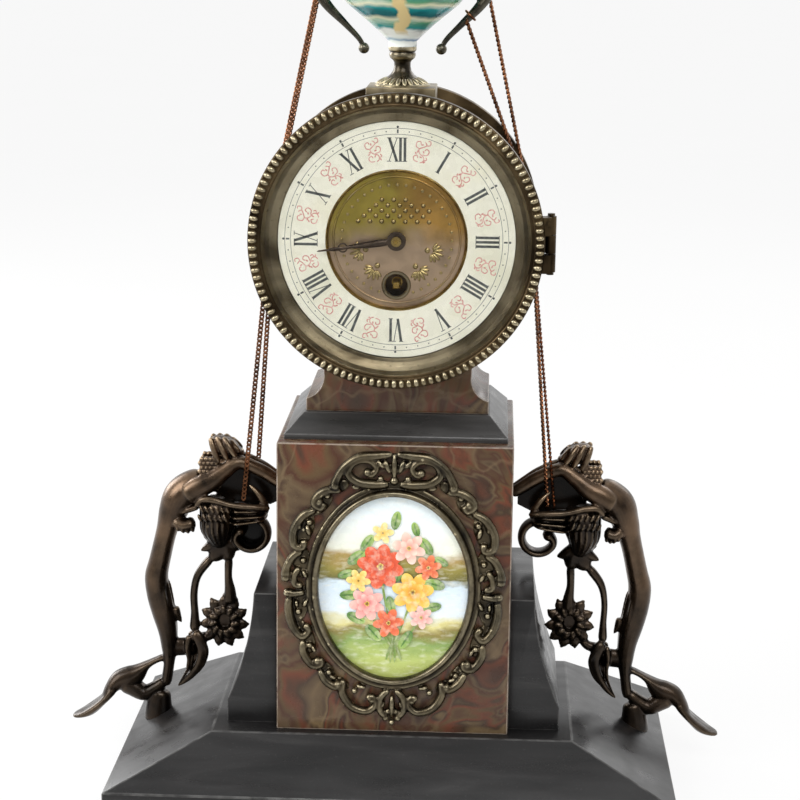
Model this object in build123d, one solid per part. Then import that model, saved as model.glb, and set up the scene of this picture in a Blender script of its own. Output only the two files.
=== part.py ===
from build123d import *
import math
import os

os.makedirs("parts", exist_ok=True)

# Figural mantel clock: stone base and pier, drum movement, cast figures, chains and a porcelain urn.
# Millimetres, +X to the viewer's right, +Y to the back, +Z up, origin under the middle of the base.

# Fits and clearances
RUN = 0.06            # radial play of a shaft in its bearing
SNUG = 0.02           # radial play of a fixed piece in its hole
LOOSE = 0.3           # gap between pieces that only pass each other
SEAT = 0.15           # bedding gap under a curved seat

# Base, a hipped slab of slate
BASE_W = 264.0
BASE_D = 154.0
BASE_BAND = 11.0      # upright edge below the slopes
BASE_H = 34.0
BASE_TOP_W = 168.0
BASE_TOP_D = 108.0

# Pier and its two side wings
PIER_W = 108.0
PIER_D = 98.0
PIER_H = 138.0
PIER_ARRIS = 0.6
WING_FOOT = 24.0      # width beside the pier at the foot
WING_HEAD = 11.4      # width beside the pier at the top
WING_BAND = 11.0      # upright part of the outer side
WING_H = 63.7
WING_D = 84.0
WING_HOLLOW = 2.6     # how far the outer side curves in

# Upper plinth and the block under the drum
PLINTH_W = 102.5
PLINTH_D = 84.0
PLINTH_BAND = 2.4
PLINTH_H = 11.0
PLINTH_TOP_W = 85.5
PLINTH_TOP_D = 66.0
BLOCK_W = 84.0
BLOCK_D = 62.0
BLOCK_BAND = 6.0
BLOCK_NECK_W = 68.0
BLOCK_COVE_H = 12.0
BLOCK_H = 31.0
BLOCK_SEAT_H = 25.8   # from the plinth to the lowest point of the drum's waist

# Drum case with a narrow waist between its two rims, dial axis and back cover
DRUM_R = 63.3
WAIST_R = 58.2
DRUM_WALL = 1.5
DRUM_FRONT = -59.5
DRUM_L = 79.5
REAR_RIM_L = 7.0
LEDGE_T = 1.5
COVER_T = 1.2
COVER_LIP_L = 5.0
COVER_DISH = 3.0
KNOB_R = 3.6
KNOB_L = 7.0

# Tie rod that holds the stack together
TIE_Y = -12.0
TIE_R = 3.0
TIE_WELL_R = 9.0
TIE_WELL_DEPTH = 9.0
NUT_FLATS = 10.0
NUT_H = 5.0
WASHER_R = 8.0
WASHER_T = 1.2

# Hinged bezel
BEZEL_R = 65.0
BEZEL_T = 6.4
BEZEL_LIP_R = 59.2    # sight radius of the lip in front of the glass
BEZEL_LIP_T = 0.9
BEAD_R = 1.5
BEAD_RING_R = 62.9
GLASS_R = 60.4
GLASS_T = 1.8
SLIP_R = 52.7         # inner radius of the sloping ring behind the glass
SLIP_T = 0.9
HINGE_R = 2.3
HINGE_L = 24.6
HINGE_PIN_R = 0.9
HINGE_KNUCKLES = 3
HINGE_LEAF_T = 1.4
HINGE_LEAF_L = 4.6

# Dial
DIAL_BACKSET = 2.1    # from the drum's front edge to the dial plate
DIAL_PLATE_T = 1.2
CHAPTER_OUT_R = 52.3
CHAPTER_IN_R = 31.4
CHAPTER_T = 0.8
CENTRE_T = 0.8
CENTRE_LAP = 2.0
CENTRE_RING_W = 1.3
CENTRE_RING_H = 0.9   # how far the gilt ring stands in front of the dial plate
GROMMET_R = 6.5
GROMMET_HOLE_R = 4.85
GROMMET_T = 0.7
DIAL_SCREW_R = 0.8
DIAL_SCREW_ANGLES = (0, 120, 240)
DIAL_FOOT_R = 2.0
DIAL_FOOT_RING_R = 41.0
DIAL_FOOT_ANGLES = (75, 195, 345)

# Movement plates
PLATE_R = 46.0
PLATE_T = 2.0
PLATE_GAP = 32.0
PLATE_BACKSET = 15.1  # from the drum's front edge to the front plate
PILLAR_R = 2.6
PILLAR_WAIST_R = 1.8
PILLAR_RING_R = 41.0
PILLAR_ANGLES = (20, 160, 235, 305)
PILLAR_SCREW_R = 1.2
PILLAR_HEAD_R = 2.6
PILLAR_HEAD_T = 1.6

# Going train: teeth and modules
BARREL_TEETH = 72
CENTRE_LEAVES = 9
BARREL_MODULE = 0.5
CENTRE_TEETH = 84
THIRD_LEAVES = 7
CENTRE_MODULE = 0.42
THIRD_TEETH = 84
ESCAPE_LEAVES = 7
THIRD_MODULE = 0.36
ESCAPE_TEETH = 43
ESCAPE_R = 10.5
THIRD_ANGLE = 135.0
WHEEL_T = 1.2
PIVOT_R = 0.6
ARBOR_R = 0.85
CENTRE_ARBOR_R = 1.2
CENTRE_PIVOT_R = 1.0
SPOKES = 5
SPOKE_W = 1.6
RIM_W = 1.8
HUB_R = 3.0

# Tooth shape, as shares of a tooth pitch or of the module
WHEEL_TOOTH = (0.40, 0.18, 0.8, 1.2)
PINION_TOOTH = (0.30, 0.14, 0.6, 1.25)

# Mainspring barrel and winding work
GREAT_WHEEL_T = 2.0
BARREL_R = 16.5
BARREL_WALL = 1.0
BARREL_L = 18.0
BARREL_CAP_T = 1.2
SPRING_T = 0.35
SPRING_TURNS = 8
SPRING_EYE_R = 3.4
WINDER_R = 2.4
WINDER_CORE_R = 2.8
WINDER_SQUARE = 3.2
WINDER_PIVOT_R = 1.6
RATCHET_R = 8.0
RATCHET_TEETH = 18
RATCHET_T = 1.4
CLICK_X = -13.0
CLICK_UP = 4.0        # height of the click's stud above the winding axis
CLICK_HUB_R = 2.0
CLICK_STUD_R = 0.9
CLICK_SPRING_OUT = 9.0   # foot of the spring beside the click's stud, and below it
CLICK_SPRING_DROP = 10.0
CLICK_SPRING_L = 14.0

# Motion work and hands
CANNON_LEAVES = 12
MINUTE_WHEEL_TEETH = 36
MINUTE_LEAVES = 10
HOUR_TEETH = 40
CANNON_MODULE = 0.5
MINUTE_WHEEL_ANGLE = 30.0
CANNON_PIPE_R = 2.3
HOUR_PIPE_R = 3.2
STUD_R = 0.9
HAND_T = 0.6
HAND_STEP = 1.4       # from one hand to the next
HAND_CLEAR = 0.8      # from the chapter ring to the hour hand
HAND_ANGLE = 261.8    # both hands at rest, clockwise from twelve
MINUTE_HAND_L = 35.5
MINUTE_HAND_W = 2.6
MINUTE_WAIST_W = 1.1
MINUTE_WAIST_AT = 20.0
HOUR_HAND_L = 28.0
HOUR_HAND_W = 3.2
HOUR_WAIST_W = 1.3
HOUR_RING_AT = 23.8
HOUR_RING_R = 2.2
HAND_BOSS_R = 4.2
HAND_NUT_R = 2.2

# Escapement and pendulum
ANCHOR_RISE = 14.0    # from the escape arbor to the anchor arbor
ANCHOR_GAP = 1.3      # pallets stay this far from the tooth tips
ANCHOR_T = 1.4
CRUTCH_L = 30.0
PENDULUM_L = 83.5
PENDULUM_BACK = 12.4  # from the back plate to the rod's plane
ROD_R = 0.9
BOB_R = 8.5
BOB_T = 6.0
SUSPENSION_W = 4.0
SUSPENSION_T = 0.3
SUSPENSION_TOP = 5.5
COCK_T = 1.8
COCK_W = 20.0

# Plaque on the pier
PLAQUE_Z = 105.0
PLAQUE_HALF_W = 35.0
PLAQUE_HALF_H = 44.2
PLAQUE_T = 2.0
FRAME_LIP = 1.2
FRAME_RIM = 2.6
FRAME_T = 5.6
SCROLL_T = 3.2
SCROLL_R = 5.8
SCROLL_BAND = 1.9
SCROLL_COUNT = 20
CREST_R = 5.0
CREST_LOBES = 5
CREST_H = 64.0

# Cast figures beside the pier
FIGURE_Y = 10.0
FIGURE_SCREW_R = 2.0
FIGURE_SCREW_HEAD_R = 4.0
FIGURE_SCREW_HEAD_T = 3.0
FIGURE_SCREW_GRIP = 9.0
ROSETTE_PETALS = 12
ROSETTE_R = 9.2
PETAL_R = 2.4
ROSETTE_T = 5.0
VOLUTE_R = 10.0
VOLUTE_BAND = 2.9
VOLUTE_W = 10.0

# Porcelain urn with metal foot, neck, cover and handles
URN_Y = -20.0
SADDLE_W = 31.0
SADDLE_D = 31.0
SADDLE_RISE = 1.6     # top of the saddle plate above the drum's rims
SADDLE_DROP = 8.6     # how far its sides reach down below the rims
FOOT_R = 12.0
FOOT_H = 17.4
STEM_R = 3.7
COLLAR_R = 6.2
URN_FOOT_R = 6.4
URN_R = 38.0
URN_H = 76.0
URN_BELLY_H = 46.0
URN_NECK_R = 15.0
URN_WALL = 3.0
NECK_T = 5.0
NECK_R = 18.5
COVER_H = 26.0
CHAIN_R = 1.3
CHAIN_RING_WIRE = 0.55
CHAIN_RING_GAP = 0.5
CHAIN_RING_LIFT = 2.6  # the rings sit this far up the handle from the strands' ends

# Worked-out levels and places
PIER_TOP = BASE_H + PIER_H
PLINTH_TOP = PIER_TOP + PLINTH_H
DIAL_Z = PLINTH_TOP + BLOCK_SEAT_H + WAIST_R
DRUM_IN_R = DRUM_R - DRUM_WALL
WAIST_IN_R = WAIST_R - DRUM_WALL
DRUM_BACK = DRUM_FRONT + DRUM_L
REAR_RIM_Y = DRUM_BACK - REAR_RIM_L
DIAL_FRONT = DRUM_FRONT + DIAL_BACKSET
DIAL_BACK = DIAL_FRONT + DIAL_PLATE_T
CHAPTER_FRONT = DIAL_FRONT - CHAPTER_T
BEZEL_BACK = DRUM_FRONT - LOOSE
BEZEL_FRONT = BEZEL_BACK - BEZEL_T
GLASS_FRONT = BEZEL_FRONT + BEZEL_LIP_T
GLASS_BACK = GLASS_FRONT + GLASS_T
FRONT_PLATE_Y = DRUM_FRONT + PLATE_BACKSET
FRONT_PLATE_BACK = FRONT_PLATE_Y + PLATE_T
BACK_PLATE_Y = FRONT_PLATE_BACK + PLATE_GAP
BACK_PLATE_BACK = BACK_PLATE_Y + PLATE_T
WINDING_DROP = (BARREL_TEETH + CENTRE_LEAVES) / 2 * BARREL_MODULE
THIRD_REACH = (CENTRE_TEETH + THIRD_LEAVES) / 2 * CENTRE_MODULE
THIRD_X = THIRD_REACH * math.cos(math.radians(THIRD_ANGLE))
THIRD_UP = THIRD_REACH * math.sin(math.radians(THIRD_ANGLE))
ESCAPE_REACH = (THIRD_TEETH + ESCAPE_LEAVES) / 2 * THIRD_MODULE
ESCAPE_UP = THIRD_UP + math.sqrt(ESCAPE_REACH ** 2 - THIRD_X ** 2)
ANCHOR_UP = ESCAPE_UP + ANCHOR_RISE
MINUTE_REACH = (CANNON_LEAVES + MINUTE_WHEEL_TEETH) / 2 * CANNON_MODULE
HOUR_MODULE = 2 * MINUTE_REACH / (MINUTE_LEAVES + HOUR_TEETH)
MINUTE_X = MINUTE_REACH * math.cos(math.radians(MINUTE_WHEEL_ANGLE))
MINUTE_UP = MINUTE_REACH * math.sin(math.radians(MINUTE_WHEEL_ANGLE))
HOUR_HAND_Y = CHAPTER_FRONT - HAND_CLEAR
MINUTE_HAND_Y = HOUR_HAND_Y - HAND_STEP
URN_BASE = DIAL_Z + DRUM_R + SADDLE_RISE
URN_SEAT = URN_BASE + FOOT_H
DIAL_AXIS = Axis((0, 0, DIAL_Z), (0, 1, 0))
URN_AXIS = Axis((0, URN_Y, 0), (0, 0, 1))


# Shared shapes
def facing(y):
    """Plane across the dial axis: local x is X, local y is height above the axis, normal to the front."""
    return Plane(origin=(0, y, DIAL_Z), x_dir=(1, 0, 0), z_dir=(0, -1, 0))


def upright(y):
    """Plane across the clock seen from the front, with local y as the height above the floor."""
    return Plane(origin=(0, y, 0), x_dir=(1, 0, 0), z_dir=(0, -1, 0))


def slab(sketch, front, back):
    """Flat piece with the sketch as outline, between two depths of the drum."""
    return extrude(facing(back) * sketch, amount=back - front)


def bar(radius, front, back, x=0.0, up=0.0):
    """Round bar along the dial's axis direction."""
    return slab(Pos(x, up) * Circle(radius), front, back)


def dial_turned(corners):
    """Ring or disc turned about the dial axis from (radius, depth) corners."""
    section = make_face(Polyline(*corners, close=True))
    plane = Plane(origin=(0, 0, DIAL_Z), x_dir=(1, 0, 0), z_dir=(0, 0, 1))
    return revolve(plane * section, axis=DIAL_AXIS)


def urn_turned(edges):
    """Form turned about the urn's axis from a closed outline of (radius, height) edges."""
    return revolve(upright(URN_Y) * make_face(edges), axis=URN_AXIS)


def ring(radius, at_radius, angles):
    """Small circles on a ring, as one sketch."""
    return Sketch() + [Rot(0, 0, angle) * Pos(at_radius, 0) * Circle(radius) for angle in angles]


def polar(radius, angle):
    """Point at an angle in degrees, counter-clockwise from the right."""
    return radius * math.cos(math.radians(angle)), radius * math.sin(math.radians(angle))


def toothed(teeth, module, shape, phase=0.0):
    """Outline of a wheel or pinion with straight-sided teeth; phase is the angle of one tooth."""
    pitch_share, tip_share, addendum, dedendum = shape
    pitch_r = teeth * module / 2
    tip_r = pitch_r + addendum * module
    root_r = pitch_r - dedendum * module
    root_share = min(0.8, pitch_share + (pitch_share - tip_share) * dedendum / addendum)
    step = 360 / teeth
    corners = []
    for index in range(teeth):
        middle = phase + index * step
        corners.append(polar(root_r, middle - root_share * step / 2))
        corners.append(polar(tip_r, middle - tip_share * step / 2))
        corners.append(polar(tip_r, middle + tip_share * step / 2))
        corners.append(polar(root_r, middle + root_share * step / 2))
    return make_face(Polyline(*corners, close=True))


def crossed(outline, teeth, module):
    """Wheel outline with its crossings cut out between hub, spokes and rim."""
    root_r = teeth * module / 2 - WHEEL_TOOTH[3] * module
    openings = Circle(root_r - RIM_W) - Circle(HUB_R)
    for index in range(SPOKES):
        openings -= Rot(0, 0, index * 360 / SPOKES) * Pos(root_r / 2, 0) * Rectangle(root_r, SPOKE_W)
    return outline - openings


def meshing_phase(direction, driver_teeth, driver_phase, teeth):
    """Phase that puts a gap of the second wheel on the first wheel's tooth."""
    lag = direction - driver_phase
    return direction + 180 + lag * driver_teeth / teeth + 180 / teeth


def hexagon_nut(height, hole_r):
    """Nut standing on its lower face."""
    outline = RegularPolygon(NUT_FLATS / 2, 6, major_radius=False) - Circle(hole_r)
    return extrude(outline, height)


# Stone pieces
def tie_hole(bottom, top):
    """Clearance hole for the tie rod."""
    return Pos(0, TIE_Y, bottom) * extrude(Circle(TIE_R + LOOSE), top - bottom)


def hip_height(x):
    """Height of the base's side slope at a distance from the middle."""
    run = (BASE_W - BASE_TOP_W) / 2
    return BASE_BAND + (BASE_W / 2 - x) * (BASE_H - BASE_BAND) / run


def base_block():
    """Base before its holes."""
    band = extrude(Rectangle(BASE_W, BASE_D), BASE_BAND)
    lower = Pos(0, 0, BASE_BAND) * Rectangle(BASE_W, BASE_D)
    upper = Pos(0, 0, BASE_H) * Rectangle(BASE_TOP_W, BASE_TOP_D)
    return band + loft([lower, upper], ruled=True)


def base_plinth():
    """Slate base with the wells for the tie nut and the figures' screws."""
    body = base_block()
    body -= tie_hole(0, BASE_H)
    body -= Pos(0, TIE_Y, 0) * extrude(Circle(TIE_WELL_R), TIE_WELL_DEPTH)
    for side in (-1, 1):
        spot = Pos(side * FIGURE_FOOT_X, FIGURE_Y, 0)
        body -= spot * extrude(Circle(FIGURE_SCREW_R + LOOSE), BASE_H)
        body -= spot * extrude(Circle(FIGURE_SCREW_HEAD_R + LOOSE), FIGURE_SCREW_HEAD_T + LOOSE)
    return body


def wing(side):
    """Slate wing beside the pier, with a hollowed outer side."""
    inner = PIER_W / 2
    foot = inner + WING_FOOT
    head = inner + WING_HEAD
    band_top = BASE_H + WING_BAND
    top = BASE_H + WING_H
    middle = ((foot + head) / 2 - WING_HOLLOW, (band_top + top) / 2)
    outline = Polyline((inner, top), (inner, BASE_H), (foot, BASE_H), (foot, band_top))
    outline += ThreePointArc((foot, band_top), middle, (head, top))
    outline += Line((head, top), (inner, top))
    body = extrude(upright(WING_D / 2) * make_face(outline), amount=WING_D)
    return body if side > 0 else mirror(body, about=Plane.YZ)


def marble_pier():
    """Upright block of marble that carries the drum and the plaque."""
    body = Pos(0, 0, BASE_H) * extrude(Rectangle(PIER_W, PIER_D), PIER_H)
    body = chamfer(body.edges().filter_by(Axis.Z), PIER_ARRIS)
    return body - tie_hole(BASE_H, PIER_TOP)


def upper_plinth():
    """Hipped slate slab on the pier."""
    band = Pos(0, 0, PIER_TOP) * extrude(Rectangle(PLINTH_W, PLINTH_D), PLINTH_BAND)
    lower = Pos(0, 0, PIER_TOP + PLINTH_BAND) * Rectangle(PLINTH_W, PLINTH_D)
    upper = Pos(0, 0, PLINTH_TOP) * Rectangle(PLINTH_TOP_W, PLINTH_TOP_D)
    return band + loft([lower, upper], ruled=True) - tie_hole(PIER_TOP, PLINTH_TOP)


def drum_block():
    """Marble block with hollowed flanks and a saddle for the drum."""
    half, neck = BLOCK_W / 2, BLOCK_NECK_W / 2
    low, cove = PLINTH_TOP + BLOCK_BAND, PLINTH_TOP + BLOCK_BAND + BLOCK_COVE_H
    top = PLINTH_TOP + BLOCK_H
    sag = (half - neck) * (1 - math.sqrt(0.5))
    rise = BLOCK_COVE_H * (1 - math.sqrt(0.5))
    outline = Polyline((0, top), (0, PLINTH_TOP), (half, PLINTH_TOP), (half, low))
    outline += ThreePointArc((half, low), (neck + sag, low + rise), (neck, cove))
    outline += Polyline((neck, cove), (neck, top), (0, top))
    right = extrude(upright(BLOCK_D / 2) * make_face(outline), amount=BLOCK_D)
    body = right + mirror(right, about=Plane.YZ)
    body -= bar(WAIST_R + SEAT, DRUM_FRONT, DRUM_BACK)
    body -= bar(DRUM_R + SEAT, REAR_RIM_Y - SEAT, DRUM_BACK + BLOCK_D)
    return body - tie_hole(PLINTH_TOP, PLINTH_TOP + BLOCK_H)


def tie_rod():
    """Iron rod through the stone pieces into the drum."""
    bottom = TIE_WELL_DEPTH - WASHER_T - NUT_H
    top = DIAL_Z - WAIST_IN_R + LOOSE + NUT_H
    return Pos(0, TIE_Y, bottom) * extrude(Circle(TIE_R), top - bottom)


def tie_nuts():
    """Washer and nut in the base, and the nut inside the drum."""
    place = Pos(0, TIE_Y, 0)
    washer = extrude(Circle(WASHER_R) - Circle(TIE_R + SNUG), WASHER_T)
    washer = Pos(0, 0, TIE_WELL_DEPTH - WASHER_T) * washer
    lower = Pos(0, 0, TIE_WELL_DEPTH - WASHER_T - NUT_H) * hexagon_nut(NUT_H, TIE_R + SNUG)
    upper = Pos(0, 0, DIAL_Z - WAIST_IN_R + LOOSE) * hexagon_nut(NUT_H, TIE_R + SNUG)
    return Compound(children=[place * washer, place * lower, place * upper])


# Drum case
def drum_case():
    """Brass drum with a rim at each end; the front rim's inner step is the ledge for the dial."""
    body = dial_turned([
        (DRUM_IN_R, DRUM_FRONT), (DRUM_R, DRUM_FRONT), (DRUM_R, DIAL_BACK + LEDGE_T),
        (WAIST_R, DIAL_BACK + LEDGE_T), (WAIST_R, REAR_RIM_Y), (DRUM_R, REAR_RIM_Y), (DRUM_R, DRUM_BACK),
        (DRUM_IN_R, DRUM_BACK), (DRUM_IN_R, REAR_RIM_Y + LEDGE_T), (WAIST_IN_R, REAR_RIM_Y + LEDGE_T),
        (WAIST_IN_R, DIAL_BACK), (DRUM_IN_R, DIAL_BACK)])
    body -= tie_hole(DIAL_Z - WAIST_R - DRUM_WALL, DIAL_Z - WAIST_IN_R + DRUM_WALL)
    screws = ring(DIAL_SCREW_R + SNUG, DIAL_SCREW_AT, DIAL_SCREW_ANGLES)
    return body - slab(screws, DIAL_BACK, DIAL_BACK + LEDGE_T)


def back_cover():
    """Push-fit back cover, dished, with a turned knob."""
    lip_out = DRUM_IN_R - LOOSE
    lip_in = lip_out - COVER_T
    dish_r = DRUM_R - COVER_LIP_L
    back = DRUM_BACK + COVER_T
    body = dial_turned([
        (0, DRUM_BACK + COVER_DISH - COVER_T), (dish_r - COVER_DISH, DRUM_BACK + COVER_DISH - COVER_T),
        (dish_r, DRUM_BACK), (lip_in, DRUM_BACK), (lip_in, DRUM_BACK - COVER_LIP_L),
        (lip_out, DRUM_BACK - COVER_LIP_L), (lip_out, DRUM_BACK), (DRUM_R, DRUM_BACK), (DRUM_R, back),
        (dish_r + COVER_T / 2, back), (dish_r - COVER_DISH + COVER_T / 2, DRUM_BACK + COVER_DISH),
        (0, DRUM_BACK + COVER_DISH)])
    knob_up = -DRUM_IN_R / 2
    face = DRUM_BACK + COVER_DISH
    stem = bar(KNOB_R / 2, face, face + KNOB_L / 2, 0, knob_up)
    head = bar(KNOB_R, face + KNOB_L / 2, face + KNOB_L, 0, knob_up)
    return body + stem + head


# Hinge of the bezel
HINGE_X = BEZEL_R + HINGE_R + LOOSE
HINGE_Y = BEZEL_BACK + LOOSE / 2
KNUCKLE_L = (HINGE_L - (HINGE_KNUCKLES - 1) * LOOSE) / HINGE_KNUCKLES
DIAL_SCREW_AT = (DRUM_IN_R + WAIST_R) / 2


def knuckle(index, hole_r):
    """One hinge knuckle, counted from the bottom."""
    bottom = DIAL_Z - HINGE_L / 2 + index * (KNUCKLE_L + LOOSE)
    return Pos(HINGE_X, HINGE_Y, bottom) * extrude(Circle(HINGE_R) - Circle(hole_r), KNUCKLE_L)


def hinge_leaf_box(index, outer, front, back):
    """Leaf of a hinge beside one knuckle, out to a distance from the middle and between two depths."""
    bottom = DIAL_Z - HINGE_L / 2 + index * (KNUCKLE_L + LOOSE)
    inner = DRUM_R - HINGE_LEAF_T
    outline = Pos((inner + outer) / 2, (front + back) / 2) * Rectangle(outer - inner, back - front)
    return Pos(0, 0, bottom) * extrude(outline, KNUCKLE_L)


def pin_room(radius):
    """Hole through every knuckle."""
    return Pos(HINGE_X, HINGE_Y, DIAL_Z - HINGE_L) * extrude(Circle(radius), 2 * HINGE_L)


def case_hinge_leaf():
    """Middle knuckle with its leaf on the side of the drum."""
    leaf = hinge_leaf_box(1, DRUM_R + HINGE_LEAF_T, HINGE_Y, HINGE_Y + HINGE_LEAF_L)
    web = hinge_leaf_box(1, HINGE_X, HINGE_Y, HINGE_Y + HINGE_R)
    body = knuckle(1, HINGE_PIN_R + SNUG) + leaf + web
    body -= bar(DRUM_R + SNUG, BEZEL_BACK, DRUM_BACK)
    body -= bar(BEZEL_R + LOOSE, BEZEL_FRONT, DRUM_FRONT)
    return body - pin_room(HINGE_PIN_R + SNUG)


def bezel_hinge_leaf():
    """Outer knuckles with their leaves on the rim of the bezel."""
    leaves = []
    for index in (0, HINGE_KNUCKLES - 1):
        leaf = hinge_leaf_box(index, HINGE_X, BEZEL_FRONT + LOOSE, HINGE_Y)
        leaf += knuckle(index, HINGE_PIN_R + RUN)
        leaf -= bar(BEZEL_R + SNUG, BEZEL_FRONT, BEZEL_BACK)
        leaf -= bar(DRUM_R + LOOSE, BEZEL_BACK, DRUM_BACK)
        leaves.append(leaf - pin_room(HINGE_PIN_R + RUN))
    return Compound(children=leaves)


def hinge_pin():
    """Pin with a small head at each end of the hinge."""
    bottom = DIAL_Z - HINGE_L / 2 - LOOSE
    length = HINGE_L + 2 * LOOSE
    body = Pos(HINGE_X, HINGE_Y, bottom) * extrude(Circle(HINGE_PIN_R), length)
    head = extrude(Circle(HINGE_R * 0.7), HINGE_PIN_R)
    body += Pos(HINGE_X, HINGE_Y, bottom - HINGE_PIN_R) * head
    return body + Pos(HINGE_X, HINGE_Y, bottom + length) * head


# Bezel door
def bezel_ring():
    """Cast bezel with a raised bead moulding round its front."""
    edge = BEZEL_R - BEAD_RING_R - BEAD_R
    bead_in = BEAD_RING_R - BEAD_R - edge
    half = BEAD_R * math.sqrt(0.5)
    return dial_turned([
        (BEZEL_R, BEZEL_BACK), (BEZEL_R, BEZEL_FRONT + edge), (BEZEL_R - edge, BEZEL_FRONT),
        (BEAD_RING_R + half, BEZEL_FRONT - half), (BEAD_RING_R, BEZEL_FRONT - BEAD_R),
        (BEAD_RING_R - half, BEZEL_FRONT - half), (BEAD_RING_R - BEAD_R, BEZEL_FRONT),
        (bead_in, BEZEL_FRONT), (BEZEL_LIP_R, GLASS_FRONT - BEZEL_LIP_T / 2), (BEZEL_LIP_R, GLASS_FRONT),
        (GLASS_R + SNUG, GLASS_FRONT), (GLASS_R + SNUG, BEZEL_BACK)])


def bezel_glass():
    """Flat glass behind the lip of the bezel."""
    return bar(GLASS_R, GLASS_FRONT, GLASS_BACK)


def bezel_slip():
    """Hollow sloping ring that holds the glass and runs in to the edge of the chapter ring."""
    rim = GLASS_R - SLIP_T
    inner_y = CHAPTER_FRONT - LOOSE - SLIP_T
    bend_r = (rim + SLIP_R) / 2
    bend_y = GLASS_BACK + (inner_y - GLASS_BACK) * 0.72
    return dial_turned([
        (GLASS_R, GLASS_BACK), (GLASS_R, BEZEL_BACK), (rim, BEZEL_BACK), (bend_r, bend_y + SLIP_T),
        (SLIP_R, inner_y + SLIP_T), (SLIP_R, inner_y), (bend_r, bend_y), (rim, GLASS_BACK)])


# Dial
def dial_plate():
    """Brass dial plate with three feet that carry the movement."""
    outline = Circle(DRUM_IN_R - LOOSE) - Circle(CHAPTER_IN_R)
    outline -= ring(DIAL_SCREW_R + SNUG, DIAL_SCREW_AT, DIAL_SCREW_ANGLES)
    body = slab(outline, DIAL_FRONT, DIAL_BACK)
    for angle in DIAL_FOOT_ANGLES:
        x, up = polar(DIAL_FOOT_RING_R, angle)
        body += bar(DIAL_FOOT_R, DIAL_FRONT + DIAL_PLATE_T / 2, FRONT_PLATE_Y, x, up)
        body += bar(DIAL_FOOT_R / 2, FRONT_PLATE_Y - DIAL_FOOT_R, FRONT_PLATE_BACK, x, up)
    return body


def dial_screws():
    """Small round-headed screws that hold the dial plate to the drum's ledge."""
    shanks = slab(ring(DIAL_SCREW_R, DIAL_SCREW_AT, DIAL_SCREW_ANGLES), DIAL_FRONT, DIAL_BACK + LEDGE_T)
    heads = ring(DIAL_SCREW_R * 1.8, DIAL_SCREW_AT, DIAL_SCREW_ANGLES)
    heads = slab(heads, DIAL_FRONT - DIAL_SCREW_R, DIAL_FRONT)
    return shanks + heads


def chapter_ring():
    """Flat ring that carries the hours."""
    return slab(Circle(CHAPTER_OUT_R) - Circle(CHAPTER_IN_R), CHAPTER_FRONT, DIAL_FRONT)


def dial_centre():
    """Pressed brass disc behind the dial plate."""
    outline = Circle(CHAPTER_IN_R + CENTRE_LAP) - Circle(HOUR_PIPE_R + LOOSE)
    outline -= Pos(0, -WINDING_DROP) * Circle(GROMMET_HOLE_R + GROMMET_T + SNUG)
    return slab(outline, DIAL_BACK, DIAL_BACK + CENTRE_T)


def centre_ring():
    """Gilt ring round the opening of the dial plate."""
    outer = CHAPTER_IN_R - SNUG
    inner = outer - CENTRE_RING_W
    front = DIAL_FRONT - CENTRE_RING_H
    return dial_turned([
        (outer, DIAL_BACK), (outer, front + CENTRE_RING_H / 2), (outer - CENTRE_RING_W / 2, front),
        (inner, front + CENTRE_RING_H), (inner, DIAL_BACK)])


def winding_grommet():
    """Flanged brass eye round the winding hole."""
    sleeve_r = GROMMET_HOLE_R + GROMMET_T
    flange = slab(Circle(GROMMET_R) - Circle(GROMMET_HOLE_R), DIAL_BACK - GROMMET_T, DIAL_BACK)
    sleeve = slab(Circle(sleeve_r) - Circle(GROMMET_HOLE_R), DIAL_BACK, DIAL_BACK + CENTRE_T + GROMMET_T)
    flange = chamfer(flange.edges().filter_by(GeomType.CIRCLE).group_by(Axis.Y)[0], GROMMET_T * 0.6)
    return Pos(0, 0, -WINDING_DROP) * (flange + sleeve)


# Movement frame
def plate_holes(pivots):
    """Pivot and pillar holes as one sketch, from (x, up, radius) triples."""
    holes = [Pos(x, up) * Circle(radius) for x, up, radius in pivots]
    holes += [ring(PILLAR_SCREW_R + SNUG, PILLAR_RING_R, PILLAR_ANGLES)]
    return Sketch() + holes


def front_plate():
    """Front plate with the studs of the minute wheel and the click."""
    pivots = [
        (0, 0, CENTRE_ARBOR_R + RUN), (0, -WINDING_DROP, WINDER_R + RUN), (THIRD_X, THIRD_UP, PIVOT_R + RUN),
        (0, ESCAPE_UP, PIVOT_R + RUN), (0, ANCHOR_UP, PIVOT_R + RUN)]
    outline = Circle(PLATE_R) - plate_holes(pivots)
    outline -= ring(DIAL_FOOT_R / 2 + SNUG, DIAL_FOOT_RING_R, DIAL_FOOT_ANGLES)
    body = slab(outline, FRONT_PLATE_Y, FRONT_PLATE_BACK)
    body += bar(STUD_R, MINUTE_PINION_FRONT - STUD_R, FRONT_PLATE_Y, MINUTE_X, MINUTE_UP)
    click_up = CLICK_UP - WINDING_DROP
    return body + bar(CLICK_STUD_R, RATCHET_FRONT - CLICK_STUD_R, FRONT_PLATE_Y, CLICK_X, click_up)


def back_plate():
    """Back plate, with a wide hole where the anchor arbor passes to its cock."""
    pivots = [
        (0, 0, CENTRE_PIVOT_R + RUN), (0, -WINDING_DROP, WINDER_PIVOT_R + RUN),
        (THIRD_X, THIRD_UP, PIVOT_R + RUN), (0, ESCAPE_UP, PIVOT_R + RUN), (0, ANCHOR_UP, 3 * ARBOR_R)]
    return slab(Circle(PLATE_R) - plate_holes(pivots), BACK_PLATE_Y, BACK_PLATE_BACK)


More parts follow.
